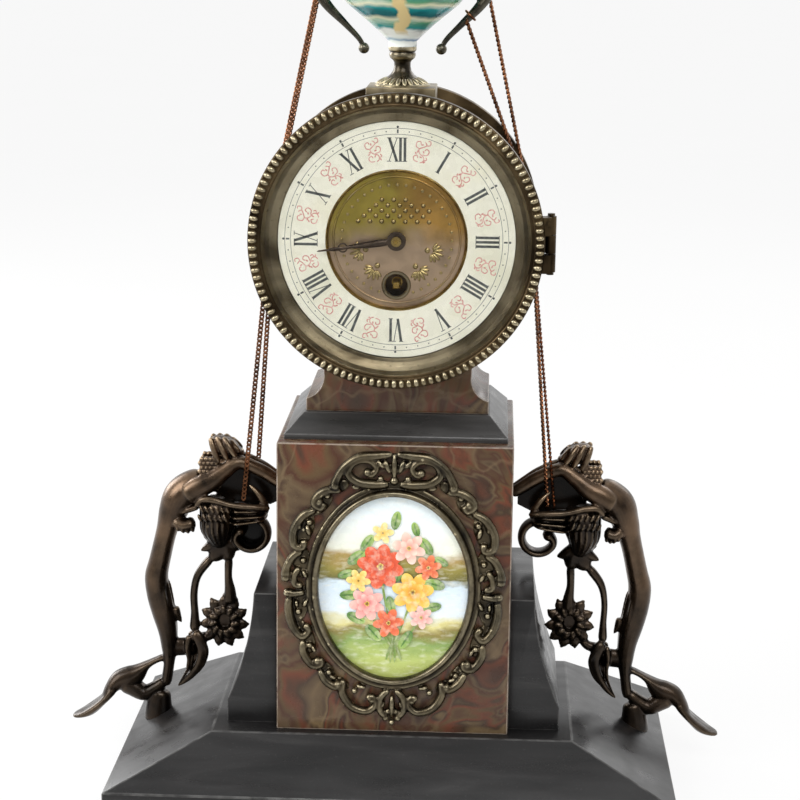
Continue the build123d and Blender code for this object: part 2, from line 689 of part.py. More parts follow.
def plate_pillars():
    """Turned pillars between the plates."""
    posts = []
    quarter = PLATE_GAP / 4
    for angle in PILLAR_ANGLES:
        x, up = polar(PILLAR_RING_R, angle)
        outline = Polyline(
            (PILLAR_SCREW_R + SNUG, 0), (PILLAR_R, 0), (PILLAR_R, PILLAR_R), (PILLAR_WAIST_R, quarter),
            (PILLAR_WAIST_R, PLATE_GAP - quarter), (PILLAR_R, PLATE_GAP - PILLAR_R), (PILLAR_R, PLATE_GAP),
            (PILLAR_SCREW_R + SNUG, PLATE_GAP), close=True)
        post = revolve(make_face(outline), axis=Axis.Y)
        posts.append(Pos(x, FRONT_PLATE_BACK, DIAL_Z + up) * post)
    return Compound(children=posts)


def pillar_screws():
    """Long screws through the pillars, with a head in front and a nut behind."""
    screws = []
    for angle in PILLAR_ANGLES:
        x, up = polar(PILLAR_RING_R, angle)
        shank = bar(PILLAR_SCREW_R, FRONT_PLATE_Y, BACK_PLATE_BACK, x, up)
        head = bar(PILLAR_HEAD_R, FRONT_PLATE_Y - PILLAR_HEAD_T, FRONT_PLATE_Y, x, up)
        nut = Pos(x, up) * RegularPolygon(PILLAR_HEAD_R, 6)
        nut = slab(nut, BACK_PLATE_BACK, BACK_PLATE_BACK + PILLAR_HEAD_T)
        screws.append(shank + head + nut)
    return Compound(children=screws)


# Levels of the wheels along the dial axis
GREAT_WHEEL_GAP = 3.0     # behind the front plate
CENTRE_WHEEL_GAP = 3.4    # behind the barrel
THIRD_WHEEL_GAP = 8.5     # behind the front of the great wheel
ESCAPE_WHEEL_GAP = 3.2    # in front of the back plate
PINION_SPARE = 1.5        # how far a pinion reaches beyond its wheel
CANNON_GAP = 1.8          # in front of the front plate
CANNON_PINION_L = 2.3
MINUTE_WHEEL_INSET = 0.5
MINUTE_PINION_SPARE = 0.4
RATCHET_GAP = 0.8         # in front of the front plate
GREAT_WHEEL_Y = FRONT_PLATE_BACK + GREAT_WHEEL_GAP
BARREL_BACK = GREAT_WHEEL_Y + BARREL_L
CENTRE_WHEEL_Y = BARREL_BACK + CENTRE_WHEEL_GAP
THIRD_WHEEL_Y = GREAT_WHEEL_Y + THIRD_WHEEL_GAP
ESCAPE_WHEEL_Y = BACK_PLATE_Y - ESCAPE_WHEEL_GAP
CANNON_BACK = FRONT_PLATE_Y - CANNON_GAP
CANNON_FRONT = CANNON_BACK - CANNON_PINION_L
MINUTE_WHEEL_Y = CANNON_FRONT + MINUTE_WHEEL_INSET
HOUR_WHEEL_Y = CANNON_FRONT - CANNON_PINION_L
MINUTE_PINION_FRONT = HOUR_WHEEL_Y - MINUTE_PINION_SPARE
RATCHET_BACK = FRONT_PLATE_Y - RATCHET_GAP
RATCHET_FRONT = RATCHET_BACK - RATCHET_T
GREAT_WHEEL_ANGLE = 90.0
CENTRE_PINION_PHASE = meshing_phase(GREAT_WHEEL_ANGLE, BARREL_TEETH, 0, CENTRE_LEAVES)
THIRD_PINION_PHASE = meshing_phase(THIRD_ANGLE, CENTRE_TEETH, 0, THIRD_LEAVES)
ESCAPE_ANGLE = math.degrees(math.atan2(ESCAPE_UP - THIRD_UP, -THIRD_X))
ESCAPE_PINION_PHASE = meshing_phase(ESCAPE_ANGLE, THIRD_TEETH, 0, ESCAPE_LEAVES)
MINUTE_WHEEL_PHASE = meshing_phase(MINUTE_WHEEL_ANGLE, CANNON_LEAVES, 0, MINUTE_WHEEL_TEETH)
HOUR_WHEEL_PHASE = meshing_phase(MINUTE_WHEEL_ANGLE + 180, MINUTE_LEAVES, 0, HOUR_TEETH)


# Going train
def centre_arbor():
    """Centre arbor with its pinion and the crossed centre wheel."""
    front = MINUTE_HAND_Y - HAND_T - 2 * HAND_T
    body = bar(CENTRE_ARBOR_R, front, BACK_PLATE_Y - RUN)
    body += bar(CENTRE_PIVOT_R, BACK_PLATE_Y - RUN, BACK_PLATE_BACK)
    pinion = toothed(CENTRE_LEAVES, BARREL_MODULE, PINION_TOOTH, CENTRE_PINION_PHASE)
    body += slab(pinion, GREAT_WHEEL_Y - PINION_SPARE, GREAT_WHEEL_Y + GREAT_WHEEL_T + PINION_SPARE)
    wheel = crossed(toothed(CENTRE_TEETH, CENTRE_MODULE, WHEEL_TOOTH), CENTRE_TEETH, CENTRE_MODULE)
    return body + slab(wheel, CENTRE_WHEEL_Y, CENTRE_WHEEL_Y + WHEEL_T)


def train_arbor(x, up):
    """Arbor between the plates with a pivot at each end."""
    body = bar(ARBOR_R, FRONT_PLATE_BACK + LOOSE, BACK_PLATE_Y - LOOSE, x, up)
    return body + bar(PIVOT_R, FRONT_PLATE_Y + LOOSE, BACK_PLATE_BACK - LOOSE, x, up)


def third_wheel():
    """Third wheel with its pinion and arbor."""
    place = Pos(THIRD_X, THIRD_UP)
    pinion = place * toothed(THIRD_LEAVES, CENTRE_MODULE, PINION_TOOTH, THIRD_PINION_PHASE)
    wheel = place * crossed(toothed(THIRD_TEETH, THIRD_MODULE, WHEEL_TOOTH), THIRD_TEETH, THIRD_MODULE)
    body = train_arbor(THIRD_X, THIRD_UP)
    body += slab(pinion, CENTRE_WHEEL_Y - PINION_SPARE, CENTRE_WHEEL_Y + WHEEL_T + PINION_SPARE)
    return body + slab(wheel, THIRD_WHEEL_Y, THIRD_WHEEL_Y + WHEEL_T)


def saw_outline(teeth, tip_r, depth):
    """Wheel outline with pointed teeth that lean one way."""
    step = 360 / teeth
    corners = []
    for index in range(teeth):
        corners.append(polar(tip_r, index * step))
        corners.append(polar(tip_r - depth, index * step + step * 0.25))
        corners.append(polar(tip_r - depth, index * step + step * 0.75))
    return make_face(Polyline(*corners, close=True))


def escape_wheel():
    """Escape wheel with pointed teeth, its pinion and arbor."""
    place = Pos(0, ESCAPE_UP)
    depth = ESCAPE_R / 8
    pinion = place * toothed(ESCAPE_LEAVES, THIRD_MODULE, PINION_TOOTH, ESCAPE_PINION_PHASE)
    module = 2 * ESCAPE_R / ESCAPE_TEETH
    wheel = place * crossed(saw_outline(ESCAPE_TEETH, ESCAPE_R, depth), ESCAPE_TEETH, module)
    body = train_arbor(0, ESCAPE_UP)
    body += slab(pinion, THIRD_WHEEL_Y - PINION_SPARE, THIRD_WHEEL_Y + WHEEL_T + PINION_SPARE)
    return body + slab(wheel, ESCAPE_WHEEL_Y, ESCAPE_WHEEL_Y + WHEEL_T)


# Mainspring and winding work
def at_winding(sketch):
    """Sketch moved to the winding axis."""
    return Pos(0, -WINDING_DROP) * sketch


def mainspring_barrel():
    """Barrel with the great wheel round its front."""
    inner = BARREL_R - BARREL_WALL
    wheel = toothed(BARREL_TEETH, BARREL_MODULE, WHEEL_TOOTH) - Circle(WINDER_R + RUN)
    body = slab(at_winding(wheel), GREAT_WHEEL_Y, GREAT_WHEEL_Y + GREAT_WHEEL_T)
    wall = Circle(BARREL_R) - Circle(inner)
    return body + slab(at_winding(wall), GREAT_WHEEL_Y + GREAT_WHEEL_T, BARREL_BACK)


def barrel_cap():
    """Cap pushed into the back of the barrel."""
    outline = Circle(BARREL_R - BARREL_WALL - SNUG) - Circle(WINDER_R + RUN)
    return slab(at_winding(outline), BARREL_BACK - BARREL_CAP_T, BARREL_BACK)


def mainspring():
    """Steel ribbon wound in a spiral of half circles from the arbor to the barrel wall."""
    outer = BARREL_R - BARREL_WALL - LOOSE - SPRING_T / 2
    step = (outer - SPRING_EYE_R) / (2 * SPRING_TURNS)
    edges = []
    for half_turn in range(2 * SPRING_TURNS):
        side = -1 if half_turn % 2 else 1
        centre = step if half_turn % 2 else 0.0
        radius = SPRING_EYE_R + half_turn * step
        start, end = (centre + side * radius, 0), (centre - side * radius, 0)
        edges.append(ThreePointArc(start, (centre, side * radius), end))
    ribbon_front = GREAT_WHEEL_Y + GREAT_WHEEL_T + LOOSE
    ribbon_back = BARREL_BACK - BARREL_CAP_T - LOOSE
    outline = trace(edges, line_width=SPRING_T)
    return slab(at_winding(outline), ribbon_front, ribbon_back)


def winding_arbor():
    """Arbor through the barrel, with a square end for the key."""
    square_back = RATCHET_FRONT - LOOSE
    body = bar(WINDER_R, square_back, BARREL_BACK + LOOSE)
    body += bar(WINDER_PIVOT_R, BARREL_BACK, BACK_PLATE_BACK)
    core_front = GREAT_WHEEL_Y + GREAT_WHEEL_T + LOOSE
    body += bar(WINDER_CORE_R, core_front, BARREL_BACK - BARREL_CAP_T - LOOSE)
    square = slab(Rectangle(WINDER_SQUARE, WINDER_SQUARE), DIAL_BACK - GROMMET_T / 2, square_back)
    square = chamfer(square.edges().group_by(Axis.Y)[0], WINDER_SQUARE / 8)
    return Pos(0, 0, -WINDING_DROP) * (body + square)


def ratchet_wheel():
    """Ratchet on the winding arbor, in front of the front plate."""
    outline = saw_outline(RATCHET_TEETH, RATCHET_R, RATCHET_R / 8) - Circle(WINDER_R + SNUG)
    return slab(at_winding(outline), RATCHET_FRONT, RATCHET_BACK)


def click():
    """Click lever beside the ratchet, lifted clear of its tooth tips."""
    up = CLICK_UP - WINDING_DROP
    reach = math.hypot(CLICK_X, CLICK_UP)
    to_ratchet = math.degrees(math.atan2(-CLICK_UP, -CLICK_X))
    beak_gap = 2 * LOOSE
    beak = polar(reach - RATCHET_R - beak_gap, to_ratchet - 20)
    heel = polar(CLICK_HUB_R * 2.2, to_ratchet + 180)
    side_a = polar(CLICK_HUB_R, to_ratchet + 80)
    side_b = polar(CLICK_HUB_R, to_ratchet - 100)
    outline = make_face(Polyline(side_a, heel, side_b, beak, close=True)) + Circle(CLICK_HUB_R)
    outline -= Circle(CLICK_STUD_R + RUN)
    return slab(Pos(CLICK_X, up) * outline, RATCHET_FRONT, RATCHET_BACK)


def click_spring():
    """Flat spring that presses on the heel of the click."""
    up = CLICK_UP - WINDING_DROP
    foot_x, foot_up = CLICK_X - CLICK_SPRING_OUT, up - CLICK_SPRING_DROP
    foot = Pos(foot_x, foot_up) * Circle(CLICK_HUB_R)
    blade_up = foot_up + (CLICK_SPRING_L - CLICK_HUB_R) / 2
    blade = Pos(foot_x + CLICK_HUB_R / 2, blade_up) * Rectangle(SPRING_T * 2, CLICK_SPRING_L)
    return slab(foot + blade, RATCHET_FRONT, FRONT_PLATE_Y)


# Motion work
def cannon_pinion():
    """Pinion and pipe that carry the minute hand."""
    pinion = toothed(CANNON_LEAVES, CANNON_MODULE, PINION_TOOTH) - Circle(CENTRE_ARBOR_R + SNUG)
    pipe = Circle(CANNON_PIPE_R) - Circle(CENTRE_ARBOR_R + SNUG)
    return slab(pinion, CANNON_FRONT, CANNON_BACK) + slab(pipe, MINUTE_HAND_Y, CANNON_FRONT)


def minute_wheel():
    """Minute wheel and its pinion, turning on a stud."""
    place = Pos(MINUTE_X, MINUTE_UP)
    hole = Circle(STUD_R + RUN)
    wheel = toothed(MINUTE_WHEEL_TEETH, CANNON_MODULE, WHEEL_TOOTH, MINUTE_WHEEL_PHASE)
    wheel = crossed(wheel, MINUTE_WHEEL_TEETH, CANNON_MODULE) - hole
    pinion = toothed(MINUTE_LEAVES, HOUR_MODULE, PINION_TOOTH) - hole
    body = slab(place * wheel, MINUTE_WHEEL_Y, MINUTE_WHEEL_Y + WHEEL_T)
    return body + slab(place * pinion, MINUTE_PINION_FRONT, MINUTE_WHEEL_Y)


def hour_wheel():
    """Hour wheel and the pipe that carries the hour hand."""
    hole = Circle(CANNON_PIPE_R + RUN)
    wheel = toothed(HOUR_TEETH, HOUR_MODULE, WHEEL_TOOTH, HOUR_WHEEL_PHASE) - hole
    pipe = Circle(HOUR_PIPE_R) - hole
    return slab(wheel, HOUR_WHEEL_Y, HOUR_WHEEL_Y + WHEEL_T) + slab(pipe, HOUR_HAND_Y - HAND_T, HOUR_WHEEL_Y)


def hand_blade(length, root_w, waist_w, waist_at, hole_r):
    """Slender hand pointing to twelve, swelling beyond the boss and thin at the tip."""
    outline = Spline((0, length), (waist_w / 2, waist_at), (root_w / 2, waist_at / 2), (root_w / 4, 0))
    half = outline + Line((root_w / 4, 0), (0, 0)) + Line((0, 0), (0, length))
    blade = make_face(half)
    blade = blade + mirror(blade, about=Plane.YZ) + Circle(HAND_BOSS_R)
    return Rot(0, 0, -HAND_ANGLE) * (blade - Circle(hole_r))


def minute_hand():
    """Minute hand on the centre arbor."""
    hole_r = CENTRE_ARBOR_R + SNUG
    outline = hand_blade(MINUTE_HAND_L, MINUTE_HAND_W, MINUTE_WAIST_W, MINUTE_WAIST_AT, hole_r)
    return slab(outline, MINUTE_HAND_Y - HAND_T, MINUTE_HAND_Y)


def hour_hand():
    """Hour hand with an open ring before its tip."""
    waist_at = HOUR_RING_AT - HOUR_RING_R
    outline = hand_blade(HOUR_HAND_L, HOUR_HAND_W, HOUR_WAIST_W, waist_at, HOUR_PIPE_R + SNUG)
    eye = Rot(0, 0, -HAND_ANGLE) * Pos(0, HOUR_RING_AT)
    outline = outline + eye * Circle(HOUR_RING_R) - eye * Circle(HOUR_RING_R - HAND_T)
    return slab(outline, HOUR_HAND_Y - HAND_T, HOUR_HAND_Y)


def hand_nut():
    """Nut in front of the minute hand."""
    back = MINUTE_HAND_Y - HAND_T
    return slab(Circle(HAND_NUT_R) - Circle(CENTRE_ARBOR_R + SNUG), back - 2 * HAND_T, back)


# Escapement and pendulum
ANCHOR_Y = ESCAPE_WHEEL_Y + (WHEEL_T - ANCHOR_T) / 2
CRUTCH_GAP = 1.0
COCK_GAP = 5.0
CRUTCH_Y = BACK_PLATE_BACK + CRUTCH_GAP
COCK_Y = BACK_PLATE_BACK + COCK_GAP
PENDULUM_Y = BACK_PLATE_BACK + PENDULUM_BACK


def anchor():
    """Anchor with two pallets, its arbor and the crutch behind the back plate."""
    body = bar(ARBOR_R, FRONT_PLATE_BACK + LOOSE, COCK_Y - LOOSE, 0, ANCHOR_UP)
    body += bar(PIVOT_R, FRONT_PLATE_Y + LOOSE, COCK_Y + COCK_T, 0, ANCHOR_UP)
    span = ESCAPE_R * 0.8
    tip_up = math.sqrt((ESCAPE_R + ANCHOR_GAP) ** 2 - span ** 2) - ANCHOR_RISE
    outline = Circle(3 * ARBOR_R)
    for side in (-1, 1):
        arm = Polyline(
            (0, 2 * ARBOR_R), (side * span * 0.7, ARBOR_R), (side * (span + ARBOR_R), tip_up),
            (side * span, tip_up), (side * span * 0.6, -ARBOR_R), (0, -2 * ARBOR_R), close=True)
        outline += make_face(arm)
    body += slab(Pos(0, ANCHOR_UP) * outline, ANCHOR_Y, ANCHOR_Y + ANCHOR_T)
    crutch = Circle(2 * ARBOR_R) + Pos(0, -CRUTCH_L / 2) * Rectangle(2 * ROD_R, CRUTCH_L)
    body += slab(Pos(0, ANCHOR_UP) * crutch, CRUTCH_Y, CRUTCH_Y + ANCHOR_T)
    foot = Pos(0, ANCHOR_UP - CRUTCH_L) * Rectangle(6 * ROD_R, 2 * ROD_R)
    body += slab(foot, CRUTCH_Y, CRUTCH_Y + ANCHOR_T)
    for side in (-1, 1):
        prong = Pos(side * (2 * ROD_R + LOOSE), ANCHOR_UP - CRUTCH_L) * Rectangle(ROD_R, 2 * ROD_R)
        body += slab(prong, CRUTCH_Y, PENDULUM_Y + 2 * ROD_R)
    return body


def back_cock():
    """Bracket behind the back plate for the anchor's rear pivot and the suspension."""
    foot_low = ANCHOR_UP + 3 * ARBOR_R + LOOSE
    foot_h = 4 * ARBOR_R
    foot = Pos(0, foot_low + foot_h / 2) * Rectangle(COCK_W, foot_h)
    tongue_w = COCK_W / 3
    tongue_h = foot_low + foot_h - (ANCHOR_UP - 3 * ARBOR_R)
    tongue = Pos(0, foot_low + foot_h - tongue_h / 2) * Rectangle(tongue_w, tongue_h)
    tongue -= Pos(0, ANCHOR_UP) * Circle(PIVOT_R + RUN)
    body = slab(foot, BACK_PLATE_BACK, COCK_Y) + slab(tongue + foot, COCK_Y, COCK_Y + COCK_T)
    stud = Pos(0, foot_low + foot_h / 2) * Rectangle(tongue_w, foot_h)
    stud -= Pos(0, foot_low) * Rectangle(SUSPENSION_T + 6 * LOOSE, 2 * foot_h)
    solid_stud = Pos(0, foot_low + foot_h / 2) * Rectangle(tongue_w, foot_h)
    spring_front = PENDULUM_Y - SUSPENSION_W / 2 - LOOSE
    body += slab(solid_stud, COCK_Y + COCK_T, spring_front)
    return body + slab(stud, spring_front, PENDULUM_Y + SUSPENSION_W / 2)


def pendulum_rod():
    """Suspension strip, its clasp and the rod."""
    strip_h = 2 * SUSPENSION_TOP
    strip = Pos(0, ANCHOR_UP) * Rectangle(SUSPENSION_T, strip_h)
    body = slab(strip, PENDULUM_Y - SUSPENSION_W / 2, PENDULUM_Y + SUSPENSION_W / 2)
    clasp = Pos(0, ANCHOR_UP - SUSPENSION_TOP) * Rectangle(3 * ROD_R, SUSPENSION_W)
    body += slab(clasp, PENDULUM_Y - SUSPENSION_W / 2, PENDULUM_Y + SUSPENSION_W / 2)
    rod_top = DIAL_Z + ANCHOR_UP - SUSPENSION_TOP
    rod_bottom = DIAL_Z + ANCHOR_UP - PENDULUM_L - BOB_R
    return body + Pos(0, PENDULUM_Y, rod_bottom) * extrude(Circle(ROD_R), rod_top - rod_bottom)


def pendulum_bob():
    """Lens-shaped bob on the rod."""
    edge = BOB_T / 5
    outline = Polyline(
        (0, -BOB_T / 2), (BOB_R * 0.7, -BOB_T / 2 + edge / 2), (BOB_R, -edge / 2), (BOB_R, edge / 2),
        (BOB_R * 0.7, BOB_T / 2 - edge / 2), (0, BOB_T / 2), close=True)
    centre_up = DIAL_Z + ANCHOR_UP - PENDULUM_L
    body = Pos(0, PENDULUM_Y, centre_up) * revolve(make_face(outline), axis=Axis.Y)
    bore = Pos(0, PENDULUM_Y, centre_up - 2 * BOB_R) * extrude(Circle(ROD_R + SNUG), 4 * BOB_R)
    return body - bore


# Plaque and its cast frame
def oval(half_w, half_h):
    """Oval sketch about the middle of the plaque."""
    return Pos(0, PLAQUE_Z) * Ellipse(half_w, half_h)


def on_pier(sketch, near, far):
    """Flat piece on the pier's front, between two heights above its face."""
    face = -PIER_D / 2
    return extrude(upright(face - near) * sketch, amount=far - near)


def painted_plaque():
    """Oval enamel panel."""
    body = on_pier(oval(PLAQUE_HALF_W, PLAQUE_HALF_H), 0, PLAQUE_T)
    return chamfer(body.edges().group_by(Axis.Y)[0], PLAQUE_T / 4)


def c_scroll(turn):
    """One open scroll with a round eye, its opening turned to an angle."""
    band = Circle(SCROLL_R) - Circle(SCROLL_R - SCROLL_BAND)
    mouth = make_face(Polyline((0, 0), polar(2 * SCROLL_R, -10), polar(2 * SCROLL_R, 75), close=True))
    eye = Pos(*polar(SCROLL_R - SCROLL_BAND, 0)) * Circle(SCROLL_BAND)
    return Rot(0, 0, turn) * (band - mouth + eye)


def crest(side):
    """Fan of lobes at the top or bottom of the frame."""
    root = side * (PLAQUE_HALF_H + FRAME_RIM)
    lobes = Pos(0, root + side * CREST_R) * Circle(2 * CREST_R)
    for index in range(CREST_LOBES):
        angle = side * (90 + (index - (CREST_LOBES - 1) / 2) * 34)
        x, up = polar(CREST_H - abs(root) - CREST_R / 2 - CREST_R * 0.6, angle)
        lobes += Pos(x, root + side * CREST_R * 0.6 + up) * Circle(CREST_R / 2)
    return Pos(0, PLAQUE_Z) * lobes


def plaque_frame():
    """Cast frame: oval moulding over an openwork of scrolls, with a crest above and below."""
    outer_w, outer_h = PLAQUE_HALF_W + FRAME_RIM, PLAQUE_HALF_H + FRAME_RIM
    room = oval(PLAQUE_HALF_W + LOOSE, PLAQUE_HALF_H + LOOSE)
    scrolls = oval(outer_w + SCROLL_BAND, outer_h + SCROLL_BAND) + crest(1) + crest(-1)
    for index in range(SCROLL_COUNT):
        around = (index + 0.5) * 360 / SCROLL_COUNT
        x = (outer_w + SCROLL_R - SCROLL_BAND / 2) * math.cos(math.radians(around))
        up = (outer_h + SCROLL_R - SCROLL_BAND / 2) * math.sin(math.radians(around))
        turn = around if index % 2 else around - 65
        scrolls += Pos(x, PLAQUE_Z + up) * c_scroll(turn)
    body = on_pier(scrolls - room, 0, SCROLL_T)
    body += on_pier(oval(outer_w, outer_h) - room, 0, FRAME_T - FRAME_LIP)
    sight = oval(PLAQUE_HALF_W - FRAME_LIP, PLAQUE_HALF_H - FRAME_LIP)
    lip = on_pier(oval(outer_w, outer_h) - sight, PLAQUE_T + SNUG, FRAME_T)
    return body + chamfer(lip.edges().group_by(Axis.Y)[0], FRAME_LIP / 2)


# Cast figures. Points are (out from the pier's side, height above the base's top).
FIGURE_FOOT_OUT = 64.5
FIGURE_FOOT_X = PIER_W / 2 + FIGURE_FOOT_OUT
BODY_PATH = [
    (43, 102, 7.0, 8.0), (53, 97, 7.0, 8.5), (57, 87, 6.5, 7.5), (60.2, 73.4, 5.7, 6.5),
    (64.4, 60.5, 5.5, 6.5), (64.8, 49.5, 6.0, 6.5), (62.4, 38.8, 6.2, 6.0), (60, 25.6, 5.2, 5.0),
    (60.1, 14.5, 4.0, 4.2), (60.8, 6, 2.9, 3.5), (62, -4, 3.0, 3.6)]
TAIL_PATH = [
    (63, 14, 3.2, 3.6), (74, 6.5, 3.9, 5.0), (82, 1, 4.4, 6.0), (88.5, -6, 3.5, 6.5), (95, -13.5, 2.5, 7.5),
    (102, -17.2, 1.9, 7.0), (108.3, -19.2, 0.8, 3.5)]
TAIL_CURL_PATH = [(63, -5, 2.4, 3.4), (70, -7.2, 2.2, 4.0), (76, -5.5, 2.2, 4.4), (82, -0.5, 2.2, 4.4)]
ARM_PATH = [
    (46, 99, 5.0, 5.2), (37, 107, 4.4, 4.6), (30, 113, 4.0, 3.8), (22, 115.5, 3.8, 3.6), (13, 112, 3.8, 3.6),
    (6, 106.5, 3.4, 3.6), (-1, 101, 3.0, 3.4)]
HEAD_PATH = [
    (42, 123.5, 2.0, 2.4), (37, 123, 4.6, 5.4), (31.5, 120.8, 5.2, 6.2), (26, 118, 4.0, 5.4),
    (22.5, 116, 1.6, 3.0)]
HAIR_PATH = [(46, 109, 2.0, 3.0), (43.5, 113.5, 3.8, 5.0), (41, 119, 3.8, 5.0), (38, 123, 2.0, 3.0)]
HAND_PATH = [(55, 84, 3.4, 4.0), (50, 83, 3.4, 4.4), (44, 84.5, 3.2, 4.0)]
BLADE_PATH = [(10.5, 88, 2.2, 3.0), (14.5, 97, 1.8, 2.4), (19.5, 104, 0.5, 0.8)]
OUTER_STEM_PATH = [
    (38, 65, 2.4, 3.0), (45, 58, 1.9, 2.4), (47.3, 48, 1.8, 2.2), (46.5, 38, 1.9, 2.4), (44.5, 27, 2.6, 3.0)]
INNER_STEM_PATH = [(30, 66, 2.2, 2.8), (30.2, 58, 1.8, 2.3), (28.6, 48, 2.0, 2.4), (29.5, 38, 2.6, 3.0)]
CLAW_PATH = [
    (47, 29, 3.2, 3.4), (44.5, 19, 5.2, 4.4), (43.2, 11, 4.4, 4.0), (47.4, 3, 2.6, 3.0), (55, -3, 0.6, 0.9)]
WEB_PATH = [(59, 19, 4.2, 3.2), (51, 19.5, 4.0, 3.0), (44, 19, 4.2, 3.2)]
FIN_PATH = [(57, 38, 2.4, 2.6), (54.5, 34, 1.6, 1.8), (53, 30.2, 0.4, 0.6)]
SHELL_CORNERS = [(44, 94.4), (26, 93.6), (24, 84), (28, 75), (33, 71), (39, 75), (44.5, 84)]
SCROLL_BAR_CORNERS = [(28, 94), (10, 94.6), (8.5, 90), (11, 85.5), (28, 85)]
HOLLOW_CORNERS = [
    (41, 94), (40, 101), (30, 111), (22, 113), (13, 110), (3, 102), (3, 97), (9, 93), (28, 92)]
LEAF_CORNERS = [(43, 68), (38, 71.5), (32, 74), (24, 72), (22, 69), (28, 64), (33, 62), (40, 63)]
ROSETTE_AT = (31.5, 34.5)
VOLUTE_AT = (18, 78.5)
SHELL_W = 21.0
SHELL_ROUND = 2.4
LEAF_W = 7.0
HOLLOW_W = 3.0
HOLLOW_ROUND = 0.6
FOOT_TOP = (62.5, -6.0)
FOOT_TOP_R = 4.2
FOOT_BOTTOM_R = 7.6


def limb(path):
    """Rounded limb through oval sections: (out, up, half width, half depth)."""
    points = [Vector(PIER_W / 2 + out, FIGURE_Y, BASE_H + up) for out, up, width, depth in path]
    sections = []
    for index, (out, up, width, depth) in enumerate(path):
        before = points[max(index - 1, 0)]
        after = points[min(index + 1, len(points) - 1)]
        along = (after - before).normalized()
        across = along.cross(Vector(0, 1, 0))
        sections.append(Plane(points[index], x_dir=across, z_dir=along) * Ellipse(width, depth))
    return loft(sections)


def cast_plate(corners, width, softness):
    """Plate cut to an outline beside the pier, with softened edges front and back."""
    outline = make_face(Polyline(*[(PIER_W / 2 + out, BASE_H + up) for out, up in corners], close=True))
    body = extrude(upright(FIGURE_Y + width / 2) * outline, amount=width)
    ends = body.edges().filter_by_position(Axis.Y, FIGURE_Y - width, FIGURE_Y - width / 2 + LOOSE)
    ends += body.edges().filter_by_position(Axis.Y, FIGURE_Y + width / 2 - LOOSE, FIGURE_Y + width)
    return chamfer(ends, softness)


def figure_spot(at):
    """Place of a figure point on the front-facing plane through the figure."""
    return Pos(PIER_W / 2 + at[0], BASE_H + at[1])


def centred(sketch, width):
    """Front-facing sketch thickened evenly about the figure's own plane."""
    return extrude(upright(FIGURE_Y + width / 2) * sketch, amount=width)


def rosette():
    """Flower with a ring of petals and a raised eye."""
    petals = Circle(ROSETTE_R)
    for index in range(ROSETTE_PETALS):
        petals += Pos(*polar(ROSETTE_R, index * 360 / ROSETTE_PETALS)) * Circle(PETAL_R)
    spot = figure_spot(ROSETTE_AT)
    return centred(spot * petals, ROSETTE_T) + centred(spot * Circle(ROSETTE_R / 3), 2 * ROSETTE_T)


def volute():
    """Scroll that curls under the shell, with a round eye."""
    band = Circle(VOLUTE_R) - Circle(VOLUTE_R - VOLUTE_BAND)
    mouth = make_face(Polyline((0, 0), polar(2 * VOLUTE_R, 20), polar(2 * VOLUTE_R, 75), close=True))
    eye = Pos(*polar(VOLUTE_R - 2 * VOLUTE_BAND, 10)) * Circle(VOLUTE_BAND)
    neck = Pos(*polar(VOLUTE_R - VOLUTE_BAND, 10)) * Circle(VOLUTE_BAND)
    return centred(figure_spot(VOLUTE_AT) * (band - mouth + eye + neck), VOLUTE_W)


def figure():
    """Bracket figure on the right-hand slope, cast in one piece."""
    limbs = [limb(path) for path in (
        TAIL_PATH, TAIL_CURL_PATH, ARM_PATH, HEAD_PATH, HAIR_PATH, HAND_PATH, BLADE_PATH, OUTER_STEM_PATH,
        INNER_STEM_PATH, CLAW_PATH, WEB_PATH, FIN_PATH)]
    plates = [
        cast_plate(SHELL_CORNERS, SHELL_W, SHELL_ROUND),
        cast_plate(SCROLL_BAR_CORNERS, SHELL_W, SHELL_ROUND / 2),
        cast_plate(LEAF_CORNERS, LEAF_W, SHELL_ROUND / 2),
        cast_plate(HOLLOW_CORNERS, HOLLOW_W, HOLLOW_ROUND),
        rosette(), volute()]
    foot_x = PIER_W / 2 + FOOT_TOP[0]
    low = Pos(FIGURE_FOOT_X, FIGURE_Y, BASE_BAND - FOOT_TOP_R) * Circle(FOOT_BOTTOM_R)
    high = Pos(foot_x, FIGURE_Y, BASE_H + FOOT_TOP[1]) * Circle(FOOT_TOP_R)
    body = limb(BODY_PATH) + (limbs + plates + [loft([low, high])])
    body -= base_block()
    body -= Pos(0, 0, BASE_H) * extrude(Rectangle(PIER_W, PIER_D), PIER_H)
    hole_top = hip_height(FIGURE_FOOT_X) + FIGURE_SCREW_GRIP
    return body - Pos(FIGURE_FOOT_X, FIGURE_Y, 0) * extrude(Circle(FIGURE_SCREW_R + SNUG), hole_top)


def figure_screws():
    """Screws from below into the figures' feet."""
    screws = []
    top = hip_height(FIGURE_FOOT_X) + FIGURE_SCREW_GRIP
    for side in (-1, 1):
        spot = Pos(side * FIGURE_FOOT_X, FIGURE_Y, LOOSE)
        shank = extrude(Circle(FIGURE_SCREW_R), top - LOOSE - LOOSE)
        screws.append(spot * (shank + extrude(Circle(FIGURE_SCREW_HEAD_R), FIGURE_SCREW_HEAD_T)))
    return Compound(children=screws)


